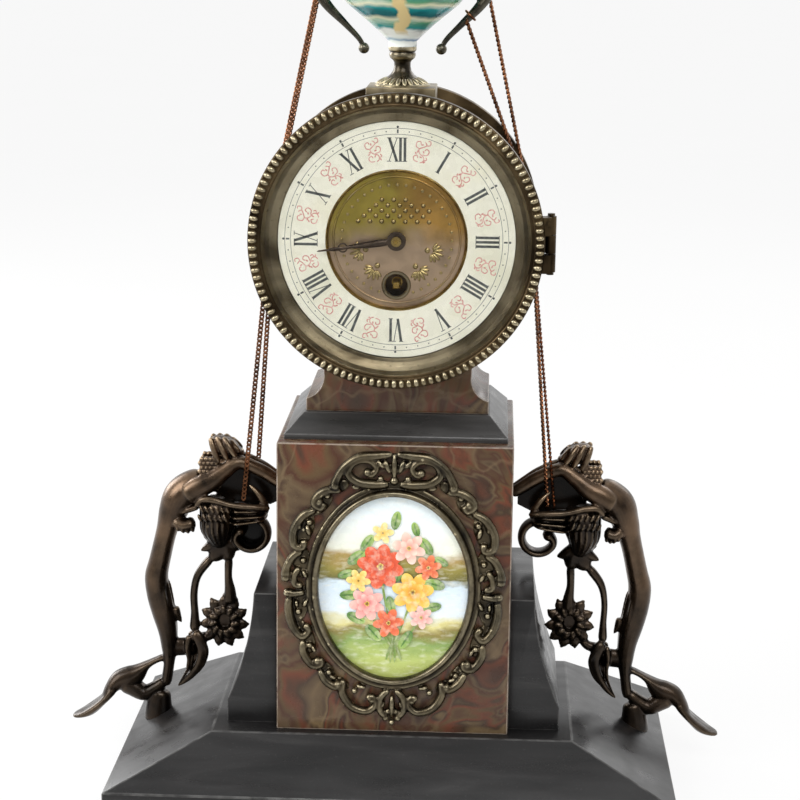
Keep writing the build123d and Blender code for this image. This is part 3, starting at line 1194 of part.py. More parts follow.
# Urn
def urn_foot():
    """Saddle plate on the drum, bell foot, stem and collar in one casting."""
    plate_h = SADDLE_RISE + SADDLE_DROP
    plate = Pos(0, URN_Y, URN_BASE - plate_h) * extrude(Rectangle(SADDLE_W, SADDLE_D), plate_h)
    plate -= bar(WAIST_R + SEAT, DRUM_FRONT, DRUM_BACK)
    bell_top = URN_BASE + FOOT_H * 0.5
    stem_top = URN_BASE + FOOT_H * 0.72
    rim_top = URN_BASE + SADDLE_RISE / 2
    outline = Polyline((0, URN_SEAT), (0, URN_BASE), (FOOT_R, URN_BASE), (FOOT_R, rim_top))
    outline += ThreePointArc(
        (FOOT_R, rim_top), (FOOT_R * 0.55, URN_BASE + FOOT_H * 0.22), (STEM_R, bell_top))
    outline += Polyline((STEM_R, bell_top), (STEM_R, stem_top))
    outline += ThreePointArc(
        (STEM_R, stem_top), (COLLAR_R, stem_top + FOOT_H * 0.07), (STEM_R + 1, stem_top + FOOT_H * 0.14))
    outline += Polyline(
        (STEM_R + 1, stem_top + FOOT_H * 0.14), (COLLAR_R, URN_SEAT - FOOT_H * 0.08), (COLLAR_R, URN_SEAT),
        (0, URN_SEAT))
    return plate + urn_turned(outline)


def urn_body():
    """Hollow porcelain urn, narrow at the foot and full at the shoulder."""
    top = URN_SEAT + URN_H
    belly = URN_SEAT + URN_BELLY_H
    floor_up = URN_SEAT + URN_BELLY_H * 0.2
    outer = Spline(
        (URN_FOOT_R, URN_SEAT + 2.4), (URN_R * 0.66, URN_SEAT + URN_BELLY_H * 0.41), (URN_R, belly),
        (URN_R * 0.78, belly + (URN_H - URN_BELLY_H) * 0.6), (URN_NECK_R, top),
        tangents=((1, 1), (-0.55, 0.6)))
    inner = Spline(
        (URN_NECK_R - URN_WALL, top), (URN_R * 0.78 - URN_WALL, belly + (URN_H - URN_BELLY_H) * 0.52),
        (URN_R - URN_WALL, belly), (URN_R * 0.6, URN_SEAT + URN_BELLY_H * 0.48), (0, floor_up),
        tangents=((0.55, -0.6), (-1, -0.1)))
    outline = Polyline((0, URN_SEAT), (URN_FOOT_R, URN_SEAT), (URN_FOOT_R, URN_SEAT + 2.4))
    outline += outer
    outline += Line((URN_NECK_R, top), (URN_NECK_R - URN_WALL, top))
    outline += inner
    outline += Line((0, floor_up), (0, URN_SEAT))
    return urn_turned(outline)


NECK_BASE = URN_SEAT + URN_H
NECK_TOP = NECK_BASE + NECK_T


def urn_neck_mount():
    """Metal ring on the urn's mouth that carries the handles."""
    hole = URN_NECK_R - URN_WALL
    outline = Polyline(
        (hole, NECK_BASE), (URN_NECK_R, NECK_BASE), (NECK_R, NECK_BASE + NECK_T * 0.3),
        (NECK_R, NECK_BASE + NECK_T * 0.7), (URN_NECK_R, NECK_TOP), (hole, NECK_TOP), close=True)
    return urn_turned(outline)


def urn_cover():
    """Domed cover with a turned finial and a spigot into the neck."""
    spigot_r = URN_NECK_R - URN_WALL - LOOSE
    rim = URN_NECK_R - URN_WALL / 2
    dome = NECK_TOP + COVER_H * 0.42
    knop = dome + COVER_H * 0.42
    outline = Polyline((0, NECK_BASE), (spigot_r, NECK_BASE), (spigot_r, NECK_TOP), (rim, NECK_TOP))
    outline += Line((rim, NECK_TOP), (rim, NECK_TOP + URN_WALL / 2))
    outline += ThreePointArc(
        (rim, NECK_TOP + URN_WALL / 2), (rim * 0.72, NECK_TOP + COVER_H * 0.3), (STEM_R * 0.6, dome))
    outline += ThreePointArc(
        (STEM_R * 0.6, dome), (STEM_R * 1.2, dome + COVER_H * 0.2), (STEM_R * 0.5, knop))
    outline += Polyline((STEM_R * 0.5, knop), (0, NECK_TOP + COVER_H), (0, NECK_BASE))
    return urn_turned(outline)


# Handles. Points are (out from the urn's axis, height above the urn's seat, radius).
HANDLE_PATH = [
    (18.7, 78.8, 2.4), (27, 85, 2.5), (38, 84, 2.6), (46, 74, 2.7), (48.5, 60, 2.8), (46.5, 44, 2.9),
    (41, 29, 2.9), (34.5, 18.5, 2.3), (26, 9.8, 1.5), (19.6, 3.2, 1.2), (17.4, -1.0, 1.1)]
HANDLE_DRAWN_H = 76.0  # height of the urn that the path is drawn for
HANDLE_EYE_R = 2.5
HIGH_HOOK = 24.17      # heights on the path where the chains hang
LOW_HOOK = 12.236
HOOKS_LEFT = (HIGH_HOOK, HIGH_HOOK)
HOOKS_RIGHT = (LOW_HOOK, HIGH_HOOK)


def handle_path():
    """Points of the handle, fitted to the urn's height."""
    stretch = URN_H / HANDLE_DRAWN_H
    return [(out, up * stretch, radius) for out, up, radius in HANDLE_PATH]


def handle(side):
    """Scroll handle that hangs from the neck mount and ends in a round eye."""
    path = handle_path()
    points = [Vector(out, URN_Y, URN_SEAT + up) for out, up, radius in path]
    sections = []
    for index, (out, up, radius) in enumerate(path):
        before = points[max(index - 1, 0)]
        after = points[min(index + 1, len(points) - 1)]
        along = (after - before).normalized()
        sections.append(Plane(points[index], x_dir=(0, 1, 0), z_dir=along) * Circle(radius))
    out, up, radius = path[-1]
    body = loft(sections) + Pos(out, URN_Y, URN_SEAT + up) * Sphere(HANDLE_EYE_R)
    body -= Pos(0, URN_Y, URN_SEAT) * extrude(Circle(NECK_R + SNUG), 2 * URN_H)
    return body if side > 0 else mirror(body, about=Plane.YZ)


# Chains from the handles round the drum's sides to the figures
CHAIN_WRAP_R = WAIST_R + CHAIN_R + LOOSE
CHAIN_ENDS_LEFT = ((21.6, -5.6), (17.0, 8.8))
CHAIN_ENDS_RIGHT = ((17.4, -5.6), (20.6, -5.6))
CHAIN_END_GAP = 0.9
CHAIN_END_UP = SCROLL_BAR_CORNERS[0][1] + CHAIN_END_GAP


def tangent_turn(x, up, side):
    """Angle on the drum, from the right, where a line from a point outside touches the wrap circle."""
    distance = math.hypot(x, up)
    opening = math.degrees(math.acos(CHAIN_WRAP_R / distance))
    return math.degrees(math.atan2(up, x)) + side * opening


def hook_spot(hook):
    """Middle of the handle at a hook's height, the handle's direction there and its radius."""
    path = handle_path()
    hook_up = hook * URN_H / HANDLE_DRAWN_H
    upper, lower = [pair for pair in zip(path, path[1:]) if pair[0][1] >= hook_up][-1]
    share = (upper[1] - hook_up) / (upper[1] - lower[1])
    out, up, radius = [a + (b - a) * share for a, b in zip(upper, lower)]
    along = Vector(lower[0] - upper[0], 0, lower[1] - upper[1]).normalized()
    return Vector(out, URN_Y, URN_SEAT + up), along, radius


def chain_strand(side, hook, sign, end_spot):
    """One strand: straight to the drum, round its side, straight down to the figure."""
    spot, along, radius = hook_spot(hook)
    top = (spot.X, spot.Y + sign * (radius + CHAIN_R + 2 * LOOSE), spot.Z)
    end = (PIER_W / 2 + end_spot[0], FIGURE_Y + end_spot[1], BASE_H + CHAIN_END_UP)
    upper_turn = tangent_turn(top[0], top[2] - DIAL_Z, -1)
    lower_turn = tangent_turn(end[0], end[2] - DIAL_Z, 1)
    middle_turn = (upper_turn + lower_turn) / 2
    corner_r = CHAIN_WRAP_R / math.cos(math.radians((upper_turn - lower_turn) / 2))
    x, rise = polar(corner_r, middle_turn)
    share = (top[2] - DIAL_Z - rise) / (top[2] - end[2])
    corner = (x, top[1] + (end[1] - top[1]) * share, DIAL_Z + rise)
    path = FilletPolyline(top, corner, end, radius=CHAIN_WRAP_R)
    body = sweep(Plane(path @ 0, z_dir=path % 0) * Circle(CHAIN_R), path=path)
    fullness = body.volume / (path.length * math.pi * CHAIN_R ** 2)
    sizes = (CHAIN_R, round(CHAIN_WRAP_R, 2), round(path.length, 1), round(fullness, 4))
    print("chain strand: radius %s, bend %s, length %s, volume share %s" % sizes)
    return body if side > 0 else mirror(body, about=Plane.YZ)


def chain(side):
    """Two strands on one side of the drum."""
    hooks = HOOKS_RIGHT if side > 0 else HOOKS_LEFT
    ends = CHAIN_ENDS_RIGHT if side > 0 else CHAIN_ENDS_LEFT
    front = chain_strand(side, hooks[0], -1, ends[0])
    back = chain_strand(side, hooks[1], 1, ends[1])
    return Compound(children=[front, back])


def handle_ring(side, hook):
    """Wire ring round a handle, beside which the strands start."""
    spot, along, radius = hook_spot(hook)
    place = Plane(spot - along * CHAIN_RING_LIFT, x_dir=(0, 1, 0), z_dir=along)
    body = place * Torus(radius + CHAIN_RING_GAP + CHAIN_RING_WIRE, CHAIN_RING_WIRE)
    return body if side > 0 else mirror(body, about=Plane.YZ)


def chain_rings():
    """The wire rings on both handles."""
    rings = [handle_ring(-1, HIGH_HOOK), handle_ring(1, LOW_HOOK), handle_ring(1, HIGH_HOOK)]
    return Compound(children=rings)


nodes = {
    "base_plinth": base_plinth(),
    "left_wing": wing(-1),
    "right_wing": wing(1),
    "marble_pier": marble_pier(),
    "upper_plinth": upper_plinth(),
    "drum_block": drum_block(),
    "tie_rod": tie_rod(),
    "tie_nuts": tie_nuts(),
    "drum_case": drum_case(),
    "back_cover": back_cover(),
    "case_hinge_leaf": case_hinge_leaf(),
    "hinge_pin": hinge_pin(),
    "bezel_ring": bezel_ring(),
    "bezel_glass": bezel_glass(),
    "bezel_slip": bezel_slip(),
    "bezel_hinge_leaf": bezel_hinge_leaf(),
    "dial_plate": dial_plate(),
    "dial_screws": dial_screws(),
    "chapter_ring": chapter_ring(),
    "dial_centre": dial_centre(),
    "centre_ring": centre_ring(),
    "winding_grommet": winding_grommet(),
    "front_plate": front_plate(),
    "back_plate": back_plate(),
    "plate_pillars": plate_pillars(),
    "pillar_screws": pillar_screws(),
    "centre_arbor": centre_arbor(),
    "third_wheel": third_wheel(),
    "escape_wheel": escape_wheel(),
    "mainspring_barrel": mainspring_barrel(),
    "barrel_cap": barrel_cap(),
    "mainspring": mainspring(),
    "winding_arbor": winding_arbor(),
    "ratchet_wheel": ratchet_wheel(),
    "click": click(),
    "click_spring": click_spring(),
    "cannon_pinion": cannon_pinion(),
    "minute_wheel": minute_wheel(),
    "hour_wheel": hour_wheel(),
    "minute_hand": minute_hand(),
    "hour_hand": hour_hand(),
    "hand_nut": hand_nut(),
    "anchor": anchor(),
    "back_cock": back_cock(),
    "pendulum_rod": pendulum_rod(),
    "pendulum_bob": pendulum_bob(),
    "painted_plaque": painted_plaque(),
    "plaque_frame": plaque_frame(),
    "figure_screws": figure_screws(),
    "urn_foot": urn_foot(),
    "urn_body": urn_body(),
    "urn_neck_mount": urn_neck_mount(),
    "urn_cover": urn_cover(),
    "left_handle": handle(-1),
    "right_handle": handle(1),
    "left_chain": chain(-1),
    "right_chain": chain(1),
    "chain_rings": chain_rings(),
}
nodes["right_figure"] = figure()
nodes["left_figure"] = mirror(nodes["right_figure"], about=Plane.YZ)

for name, body in nodes.items():
    export_step(body, os.path.join("parts", name + ".step"))
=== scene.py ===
import bmesh
import bpy
import math
from mathutils import Matrix, Vector


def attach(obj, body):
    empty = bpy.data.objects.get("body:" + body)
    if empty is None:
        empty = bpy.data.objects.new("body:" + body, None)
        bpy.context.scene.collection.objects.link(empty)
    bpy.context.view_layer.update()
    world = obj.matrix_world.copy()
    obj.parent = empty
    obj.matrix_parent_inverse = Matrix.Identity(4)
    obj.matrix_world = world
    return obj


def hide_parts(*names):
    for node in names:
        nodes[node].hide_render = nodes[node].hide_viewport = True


# Figural mantel clock: stone case, drum movement, cast figures, chains and a porcelain urn.
# Shapes are drawn in millimetres in the part's own frame and scaled to metres when a piece is finished.
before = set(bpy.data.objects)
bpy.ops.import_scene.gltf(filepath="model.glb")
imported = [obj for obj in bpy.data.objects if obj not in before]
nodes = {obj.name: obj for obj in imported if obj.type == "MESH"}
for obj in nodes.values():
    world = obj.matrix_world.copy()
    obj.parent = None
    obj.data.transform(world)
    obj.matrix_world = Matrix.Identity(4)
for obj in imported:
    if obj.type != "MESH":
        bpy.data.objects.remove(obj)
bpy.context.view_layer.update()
scene = bpy.context.scene
scene.view_settings.view_transform = "Standard"
MM = 0.001

# Levels and sizes shared with the part
BASE_W, BASE_D, BASE_BAND, BASE_H = 264.0, 154.0, 11.0, 34.0
BASE_TOP_W, BASE_TOP_D = 168.0, 108.0
PIER_W, PIER_D, PIER_TOP = 108.0, 98.0, 172.0
WING_FOOT, WING_HEAD, WING_BAND, WING_TOP, WING_D, WING_HOLLOW = 78.0, 65.4, 45.0, 97.7, 84.0, 2.6
PLINTH_W, PLINTH_D, PLINTH_BAND, PLINTH_TOP = 102.5, 84.0, 174.4, 183.0
PLINTH_TOP_W, PLINTH_TOP_D = 85.5, 66.0
DIAL_Z = 267.0
DRUM_R, WAIST_R, DRUM_FRONT, DRUM_BACK = 63.3, 58.2, -59.5, 20.0
BEZEL_R, BEZEL_FRONT, BEZEL_BACK, GLASS_R = 65.0, -66.2, -59.8, 60.4
BEAD_R, BEAD_RING_R, BEAD_COUNT = 1.4, 62.8, 120
BEAD_HALF_W, BEAD_HALF_L = 1.25, 1.9
CHAPTER_FRONT, CENTRE_FRONT = -58.2, -56.2
WINDING_DROP = 20.25
PLAQUE_Z, PLAQUE_HALF_W, PLAQUE_HALF_H, PIER_FACE = 105.0, 35.0, 44.2, -49.0
FIGURE_X, FIGURE_Y, FIGURE_Z = 54.0, 10.0, 34.0
URN_Y, URN_BASE, URN_SEAT, URN_TOP = -20.0, 331.9, 349.3, 425.3


# Finishes
def tone(code):
    """Linear colour of a six-digit screen colour."""
    channels = []
    for start in (0, 2, 4):
        value = int(code[start:start + 2], 16) / 255
        channels.append(value / 12.92 if value <= 0.04045 else ((value + 0.055) / 1.055) ** 2.4)
    return (*channels, 1.0)


class Finish:
    """A material that is built up from layers on the piece's own coordinates."""

    def __init__(self, name, metallic=0.0, roughness=0.5):
        self.material = bpy.data.materials.new(name)
        self.material.use_nodes = True
        self.nodes = self.material.node_tree.nodes
        self.links = self.material.node_tree.links
        self.shader = self.nodes["Principled BSDF"]
        self.shader.inputs["Metallic"].default_value = metallic
        self.shader.inputs["Roughness"].default_value = roughness
        self.place = self.nodes.new("ShaderNodeTexCoord").outputs["Object"]

    def join(self, source, target):
        """Links a socket, or sets a plain value."""
        if isinstance(source, bpy.types.NodeSocket):
            self.links.new(source, target)
        else:
            target.default_value = source

    def spread(self, stretch, vector=None):
        """Coordinates stretched along the three axes."""
        mapping = self.nodes.new("ShaderNodeMapping")
        mapping.inputs["Scale"].default_value = stretch
        self.links.new(vector or self.place, mapping.inputs["Vector"])
        return mapping.outputs["Vector"]

    def noise(self, scale, detail=5.0, stretch=(1, 1, 1), distortion=0.0, vector=None):
        """Cloudy pattern; scale is in features per metre."""
        texture = self.nodes.new("ShaderNodeTexNoise")
        texture.inputs["Scale"].default_value = scale
        texture.inputs["Detail"].default_value = detail
        texture.inputs["Distortion"].default_value = distortion
        self.links.new(self.spread(stretch, vector), texture.inputs["Vector"])
        return texture.outputs["Fac"]

    def cells(self, scale, stretch, vector):
        """Distance to the edges of a cell pattern."""
        texture = self.nodes.new("ShaderNodeTexVoronoi")
        texture.feature = "DISTANCE_TO_EDGE"
        texture.inputs["Scale"].default_value = scale
        self.links.new(self.spread(stretch, vector), texture.inputs["Vector"])
        return texture.outputs["Distance"]

    def bent(self, scale, amount):
        """Coordinates pushed about by a cloudy pattern, for flowing veins."""
        texture = self.nodes.new("ShaderNodeTexNoise")
        texture.inputs["Scale"].default_value = scale
        texture.inputs["Detail"].default_value = 3.0
        self.links.new(self.place, texture.inputs["Vector"])
        push = self.nodes.new("ShaderNodeVectorMath")
        push.operation = "MULTIPLY_ADD"
        push.inputs[1].default_value = (amount, amount, amount)
        self.links.new(texture.outputs["Color"], push.inputs[0])
        self.links.new(self.place, push.inputs[2])
        return push.outputs["Vector"]

    def axis(self, name):
        """One coordinate, in metres."""
        split = self.nodes.new("ShaderNodeSeparateXYZ")
        self.links.new(self.place, split.inputs["Vector"])
        return split.outputs[name]

    def mark(self, name, output="Fac"):
        """Value or colour of an attribute that the mesh carries."""
        attribute = self.nodes.new("ShaderNodeAttribute")
        attribute.attribute_name = name
        return attribute.outputs[output]

    def edges(self):
        """How much the surface stands out or lies back at a point."""
        return self.nodes.new("ShaderNodeNewGeometry").outputs["Pointiness"]

    def sums(self, operation, first, second=0.0):
        """Arithmetic on two values."""
        node = self.nodes.new("ShaderNodeMath")
        node.operation = operation
        self.join(first, node.inputs[0])
        self.join(second, node.inputs[1])
        return node.outputs["Value"]

    def ramp(self, value, *stops):
        """Colours or greys along a value, from (place, colour) stops."""
        node = self.nodes.new("ShaderNodeValToRGB")
        elements = node.color_ramp.elements
        elements[0].position, elements[0].color = stops[0]
        elements[1].position, elements[1].color = stops[-1]
        for position, colour in stops[1:-1]:
            elements.new(position).color = colour
        self.links.new(value, node.inputs["Fac"])
        return node.outputs["Color"]

    def level(self, value, low, high, start=0.0, end=1.0):
        """Value spread from a range to another range."""
        node = self.nodes.new("ShaderNodeMapRange")
        self.join(value, node.inputs["Value"])
        node.inputs["From Min"].default_value = low
        node.inputs["From Max"].default_value = high
        node.inputs["To Min"].default_value = start
        node.inputs["To Max"].default_value = end
        return node.outputs["Result"]

    def mix(self, share, first, second):
        """Two colours laid over each other."""
        node = self.nodes.new("ShaderNodeMix")
        node.data_type = "RGBA"
        self.join(share, node.inputs[0])
        self.join(first, node.inputs[6])
        self.join(second, node.inputs[7])
        return node.outputs[2]

    def colour(self, source):
        """Base colour."""
        self.join(source, self.shader.inputs["Base Color"])

    def rough(self, source):
        """Roughness that varies over the surface."""
        self.join(source, self.shader.inputs["Roughness"])

    def bump(self, height, strength, depth):
        """Relief in the surface, its depth in millimetres."""
        node = self.nodes.new("ShaderNodeBump")
        node.inputs["Strength"].default_value = strength
        node.inputs["Distance"].default_value = depth * MM
        self.links.new(height, node.inputs["Height"])
        self.links.new(node.outputs["Normal"], self.shader.inputs["Normal"])


def slate_finish(name, shades):
    """Dark honed slate with faint streaks along the bed and slightly paler arrises."""
    finish = Finish(name)
    streaks = finish.noise(26, 6, (0.55, 1.6, 4.5), 0.8)
    places = (0.3, 0.48, 0.6, 0.75)
    stone = finish.ramp(streaks, *[(place, tone(shade)) for place, shade in zip(places, shades)])
    specks = finish.noise(900, 3)
    stone = finish.mix(finish.level(specks, 0.62, 0.75, 0, 0.2), stone, tone("4d4b4a"))
    patches = finish.level(finish.noise(150, 4), 0.35, 0.7, 0.1, 0.5)
    worn = finish.sums("MULTIPLY", finish.mark("wear"), patches)
    finish.colour(finish.mix(worn, stone, tone("6f6e6c")))
    finish.rough(finish.level(finish.noise(60, 5, (0.5, 1.5, 3)), 0.3, 0.7, 0.24, 0.4))
    finish.shader.inputs["Specular IOR Level"].default_value = 0.42
    finish.bump(finish.noise(700, 4), 0.2, 0.08)
    return finish.material


def marble_finish():
    """Brown marble in agate-like swirls of olive, red-brown and dark brown."""
    finish = Finish("brown_marble")
    bands = finish.noise(17, 2.5, (1, 1, 0.75), 2.6, finish.bent(14, 0.055))
    stone = finish.ramp(
        bands, (0.28, tone("2c1f19")), (0.35, tone("5a3425")), (0.39, tone("3c2b22")),
        (0.43, tone("5f4f3a")), (0.47, tone("482e23")), (0.51, tone("57452f")), (0.55, tone("633828")),
        (0.59, tone("3f3126")), (0.64, tone("6c5a40")), (0.74, tone("34241d")))
    clouds = finish.noise(30, 4, (1, 1, 1), 0.8)
    stone = finish.mix(finish.level(clouds, 0.5, 0.72, 0, 0.5), stone, tone("4a3c32"))
    veins = finish.cells(30, (1, 1, 0.7), finish.bent(30, 0.055))
    stone = finish.mix(finish.level(veins, 0.0, 0.04, 0.42, 0), stone, tone("75624a"))
    patches = finish.level(finish.noise(200, 4), 0.3, 0.5, 0.15, 0.7)
    worn = finish.sums("MULTIPLY", finish.mark("wear"), patches)
    finish.colour(finish.mix(worn, stone, tone("9c8f82")))
    finish.rough(finish.level(finish.noise(90, 4), 0.3, 0.7, 0.2, 0.34))
    finish.shader.inputs["Specular IOR Level"].default_value = 0.3
    finish.bump(finish.noise(500, 4), 0.12, 0.06)
    return finish.material


def cast_metal_finish(name, hollow, ground, crest, roughness, patina=90, handled=False):
    """Patinated casting: dark in the hollows, worn bright on the crests; handled ones stay dark low down."""
    finish = Finish(name, 1.0)
    clouds = finish.noise(patina, 6)
    metal = finish.mix(finish.level(clouds, 0.35, 0.7), tone(ground), tone(hollow))
    if handled:
        reach = finish.level(finish.sums("ABSOLUTE", finish.axis("X")), 0.1, 0.112)
        touched = finish.sums("MULTIPLY", reach, finish.level(finish.axis("Z"), 0.066, 0.1))
        touched = finish.sums("MAXIMUM", touched, finish.level(finish.axis("Z"), 0.122, 0.138))
        metal = finish.mix(finish.level(touched, 0, 1, 0.72, 0), metal, tone(hollow))
    metal = finish.mix(finish.level(finish.edges(), 0.44, 0.5, 0.85, 0), metal, tone(hollow))
    crests = finish.level(finish.edges(), 0.505, 0.57)
    crests = finish.sums("MULTIPLY", crests, finish.level(finish.noise(320, 4), 0.3, 0.6, 0.35, 1))
    if handled:
        crests = finish.sums("MULTIPLY", crests, finish.level(touched, 0, 1, 0.3, 1))
    finish.colour(finish.mix(crests, metal, tone(crest)))
    finish.rough(finish.level(finish.noise(260, 5), 0.3, 0.7, roughness - 0.08, roughness + 0.12))
    finish.shader.inputs["Coat Weight"].default_value = 0.3
    finish.shader.inputs["Coat Roughness"].default_value = 0.2
    finish.bump(finish.noise(900, 4), 0.2, 0.1)
    return finish.material


def dial_centre_finish(name, raised):
    """Embossed brass of the dial's centre, with painted reflections in its colour: an olive highlight above,
    warmer to the right and a greyer brown below.
    """
    finish = Finish(name, 1.0)
    clouds = finish.noise(60, 6)
    wander = finish.level(clouds, 0.2, 0.8, -0.006, 0.006)
    height = finish.sums("ADD", finish.axis("Z"), wander)
    # Painted reflection: masks by place that make the disc greyer below and warmer to the right
    below = finish.level(height, (DIAL_Z - 4) * MM, (DIAL_Z + 7) * MM, 1, 0)
    right = finish.level(finish.sums("ADD", finish.axis("X"), wander), -0.002, 0.012)
    # Painted reflection colours: olive highlight above, warm reflection to the right, grey reflection below
    metal = finish.mix(right, tone("b29f4c"), tone("cca056"))
    metal = finish.mix(below, metal, tone("c7ad91"))
    metal = finish.mix(finish.level(clouds, 0.5, 0.75, 0, 0.6), metal, tone("4f402a"))
    if raised:
        metal = finish.mix(finish.level(finish.edges(), 0.505, 0.57), metal, tone("b5a271"))
    finish.colour(metal)
    finish.rough(finish.level(finish.noise(260, 5), 0.3, 0.7, 0.3, 0.5))
    finish.bump(finish.noise(900, 4), 0.2, 0.1)
    return finish.material


def turned_brass_finish(name, dark, ground, bright, roughness):
    """Turned or spun brass with a cloudy patina and small dark spots."""
    finish = Finish(name, 1.0)
    clouds = finish.noise(45, 6, (1, 1, 1), 0.6)
    metal = finish.ramp(clouds, (0.32, tone(dark)), (0.52, tone(ground)), (0.74, tone(bright)))
    spots = finish.noise(420, 4)
    finish.colour(finish.mix(finish.level(spots, 0.62, 0.72, 0, 0.6), metal, tone(dark)))
    finish.rough(finish.level(finish.noise(160, 5), 0.3, 0.7, roughness - 0.07, roughness + 0.12))
    finish.bump(finish.noise(1400, 3), 0.12, 0.05)
    return finish.material


def plain_metal_finish(name, ground, shade, roughness):
    """Machined metal with faint brushing and a little tarnish."""
    finish = Finish(name, 1.0)
    tarnish = finish.noise(140, 5)
    finish.colour(finish.mix(finish.level(tarnish, 0.4, 0.72), tone(ground), tone(shade)))
    finish.rough(finish.level(finish.noise(600, 3, (1, 6, 1)), 0.3, 0.7, roughness - 0.06, roughness + 0.1))
    finish.bump(finish.noise(1800, 2, (1, 8, 1)), 0.08, 0.04)
    return finish.material


def enamel_finish():
    """Ivory enamel, a little yellowed in clouds, with a soft gloss."""
    finish = Finish("ivory_enamel")
    clouds = finish.noise(38, 5)
    finish.colour(finish.ramp(clouds, (0.3, tone("e2e0ca")), (0.55, tone("eeecdb")), (0.75, tone("e8e4cc"))))
    finish.rough(finish.level(finish.noise(220, 3), 0.3, 0.7, 0.2, 0.34))
    finish.bump(finish.noise(500, 3), 0.05, 0.04)
    return finish.material


def ink_finish(name, deep, pale):
    """Fired printing colour, thin in places."""
    finish = Finish(name, 0.0, 0.45)
    finish.colour(finish.ramp(finish.noise(520, 4), (0.35, tone(deep)), (0.7, tone(pale))))
    finish.rough(finish.level(finish.noise(300, 3), 0.3, 0.7, 0.35, 0.55))
    return finish.material


def glass_finish():
    """Clear flat glass that shows only its reflections."""
    finish = Finish("clear_glass")
    clear = finish.nodes.new("ShaderNodeBsdfTransparent")
    clear.inputs["Color"].default_value = (0.997, 0.998, 0.996, 1)
    sheen = finish.nodes.new("ShaderNodeBsdfGlossy")
    finish.links.new(finish.level(finish.noise(60, 3), 0.3, 0.7, 0.02, 0.07), sheen.inputs["Roughness"])
    edge = finish.nodes.new("ShaderNodeFresnel")
    edge.inputs["IOR"].default_value = 1.22
    blend = finish.nodes.new("ShaderNodeMixShader")
    finish.links.new(edge.outputs["Fac"], blend.inputs["Fac"])
    finish.links.new(clear.outputs["BSDF"], blend.inputs[1])
    finish.links.new(sheen.outputs["BSDF"], blend.inputs[2])
    output = finish.nodes["Material Output"]
    finish.links.new(blend.outputs["Shader"], output.inputs["Surface"])
    return finish.material


def porcelain_finish():
    """Glazed porcelain in hand-laid turquoise and green bands with a gilt stripe down the front."""
    finish = Finish("banded_porcelain")
    wavering = finish.level(finish.noise(55, 4, (1, 1, 0.4)), 0.2, 0.8, -0.0016, 0.0016)
    height = finish.sums("ADD", finish.axis("Z"), wavering)
    rise = finish.level(height, URN_SEAT * MM, URN_TOP * MM)
    white, line, cream = tone("e9ece6"), tone("3c6f9e"), tone("d9d6b4")
    teal, green, deep = tone("1f8b8c"), tone("5c9a72"), tone("155f66")
    glaze = finish.ramp(
        rise, (0.0, white), (0.035, white), (0.045, line), (0.06, white), (0.1, white), (0.115, teal),
        (0.155, green), (0.17, cream), (0.19, deep), (0.23, teal), (0.25, cream), (0.27, green),
        (0.31, teal), (0.335, deep), (0.36, cream), (0.38, teal), (0.45, green), (0.47, cream),
        (0.5, deep), (0.6, teal), (0.62, cream), (0.66, green), (0.75, deep), (0.78, cream), (0.83, teal),
        (0.93, green), (1.0, cream))
    ripple = finish.noise(70, 5, (0.6, 0.6, 3.5))
    glaze = finish.mix(finish.level(ripple, 0.5, 0.68, 0, 0.6), glaze, tone("cfdcd0"))
    glaze = finish.mix(finish.level(ripple, 0.32, 0.42, 0.5, 0), glaze, tone("0f4a50"))
    across = finish.sums("ADD", finish.axis("X"), finish.level(finish.noise(90, 3), 0.2, 0.8, -0.003, 0.003))
    stripe = finish.sums("SUBTRACT", 1.0, finish.level(finish.sums("ABSOLUTE", across), 0.0022, 0.0034))
    stripe = finish.sums("MULTIPLY", stripe, finish.level(rise, 0.07, 0.1))
    finish.colour(finish.mix(stripe, glaze, tone("d8c28c")))
    finish.rough(finish.level(finish.noise(200, 3), 0.3, 0.7, 0.12, 0.22))
    finish.bump(finish.noise(300, 4), 0.08, 0.08)
    return finish.material


def painted_ground_finish():
    """Glazed panel with a washed sky, far hills, water and a meadow."""
    finish = Finish("painted_ground")
    wash = finish.level(finish.noise(70, 5, (1, 1, 2)), 0.2, 0.8, -0.005, 0.005)
    height = finish.sums("ADD", finish.axis("Z"), wash)
    rise = finish.level(height, (PLAQUE_Z - PLAQUE_HALF_H) * MM, (PLAQUE_Z + PLAQUE_HALF_H) * MM)
    scene_colours = finish.ramp(
        rise, (0.0, tone("9aa052")), (0.1, tone("b3c06c")), (0.2, tone("86a058")), (0.26, tone("8d7f42")),
        (0.3, tone("d8cf8c")), (0.36, tone("dfe9ee")), (0.5, tone("cfdfe9")), (0.53, tone("6f6a35")),
        (0.6, tone("94893f")), (0.66, tone("a98f55")), (0.72, tone("e8ead9")), (0.85, tone("e6eeee")),
        (1.0, tone("d8e6ea")))
    strokes = finish.noise(160, 4, (1, 1, 3))
    finish.colour(finish.mix(finish.level(strokes, 0.5, 0.75, 0, 0.45), scene_colours, tone("f2f0e2")))
    finish.rough(finish.level(finish.noise(240, 3), 0.3, 0.7, 0.22, 0.36))
    finish.bump(finish.noise(400, 3), 0.08, 0.05)
    return finish.material


def painted_flower_finish():
    """Brush colours laid on the panel, each stroke with its own shade."""
    finish = Finish("painted_flowers")
    thin = finish.level(finish.noise(420, 4), 0.45, 0.75, 0, 0.4)
    finish.colour(finish.mix(thin, finish.mark("paint", "Color"), tone("f4e9d4")))
    finish.rough(finish.level(finish.noise(240, 3), 0.3, 0.7, 0.24, 0.4))
    return finish.material


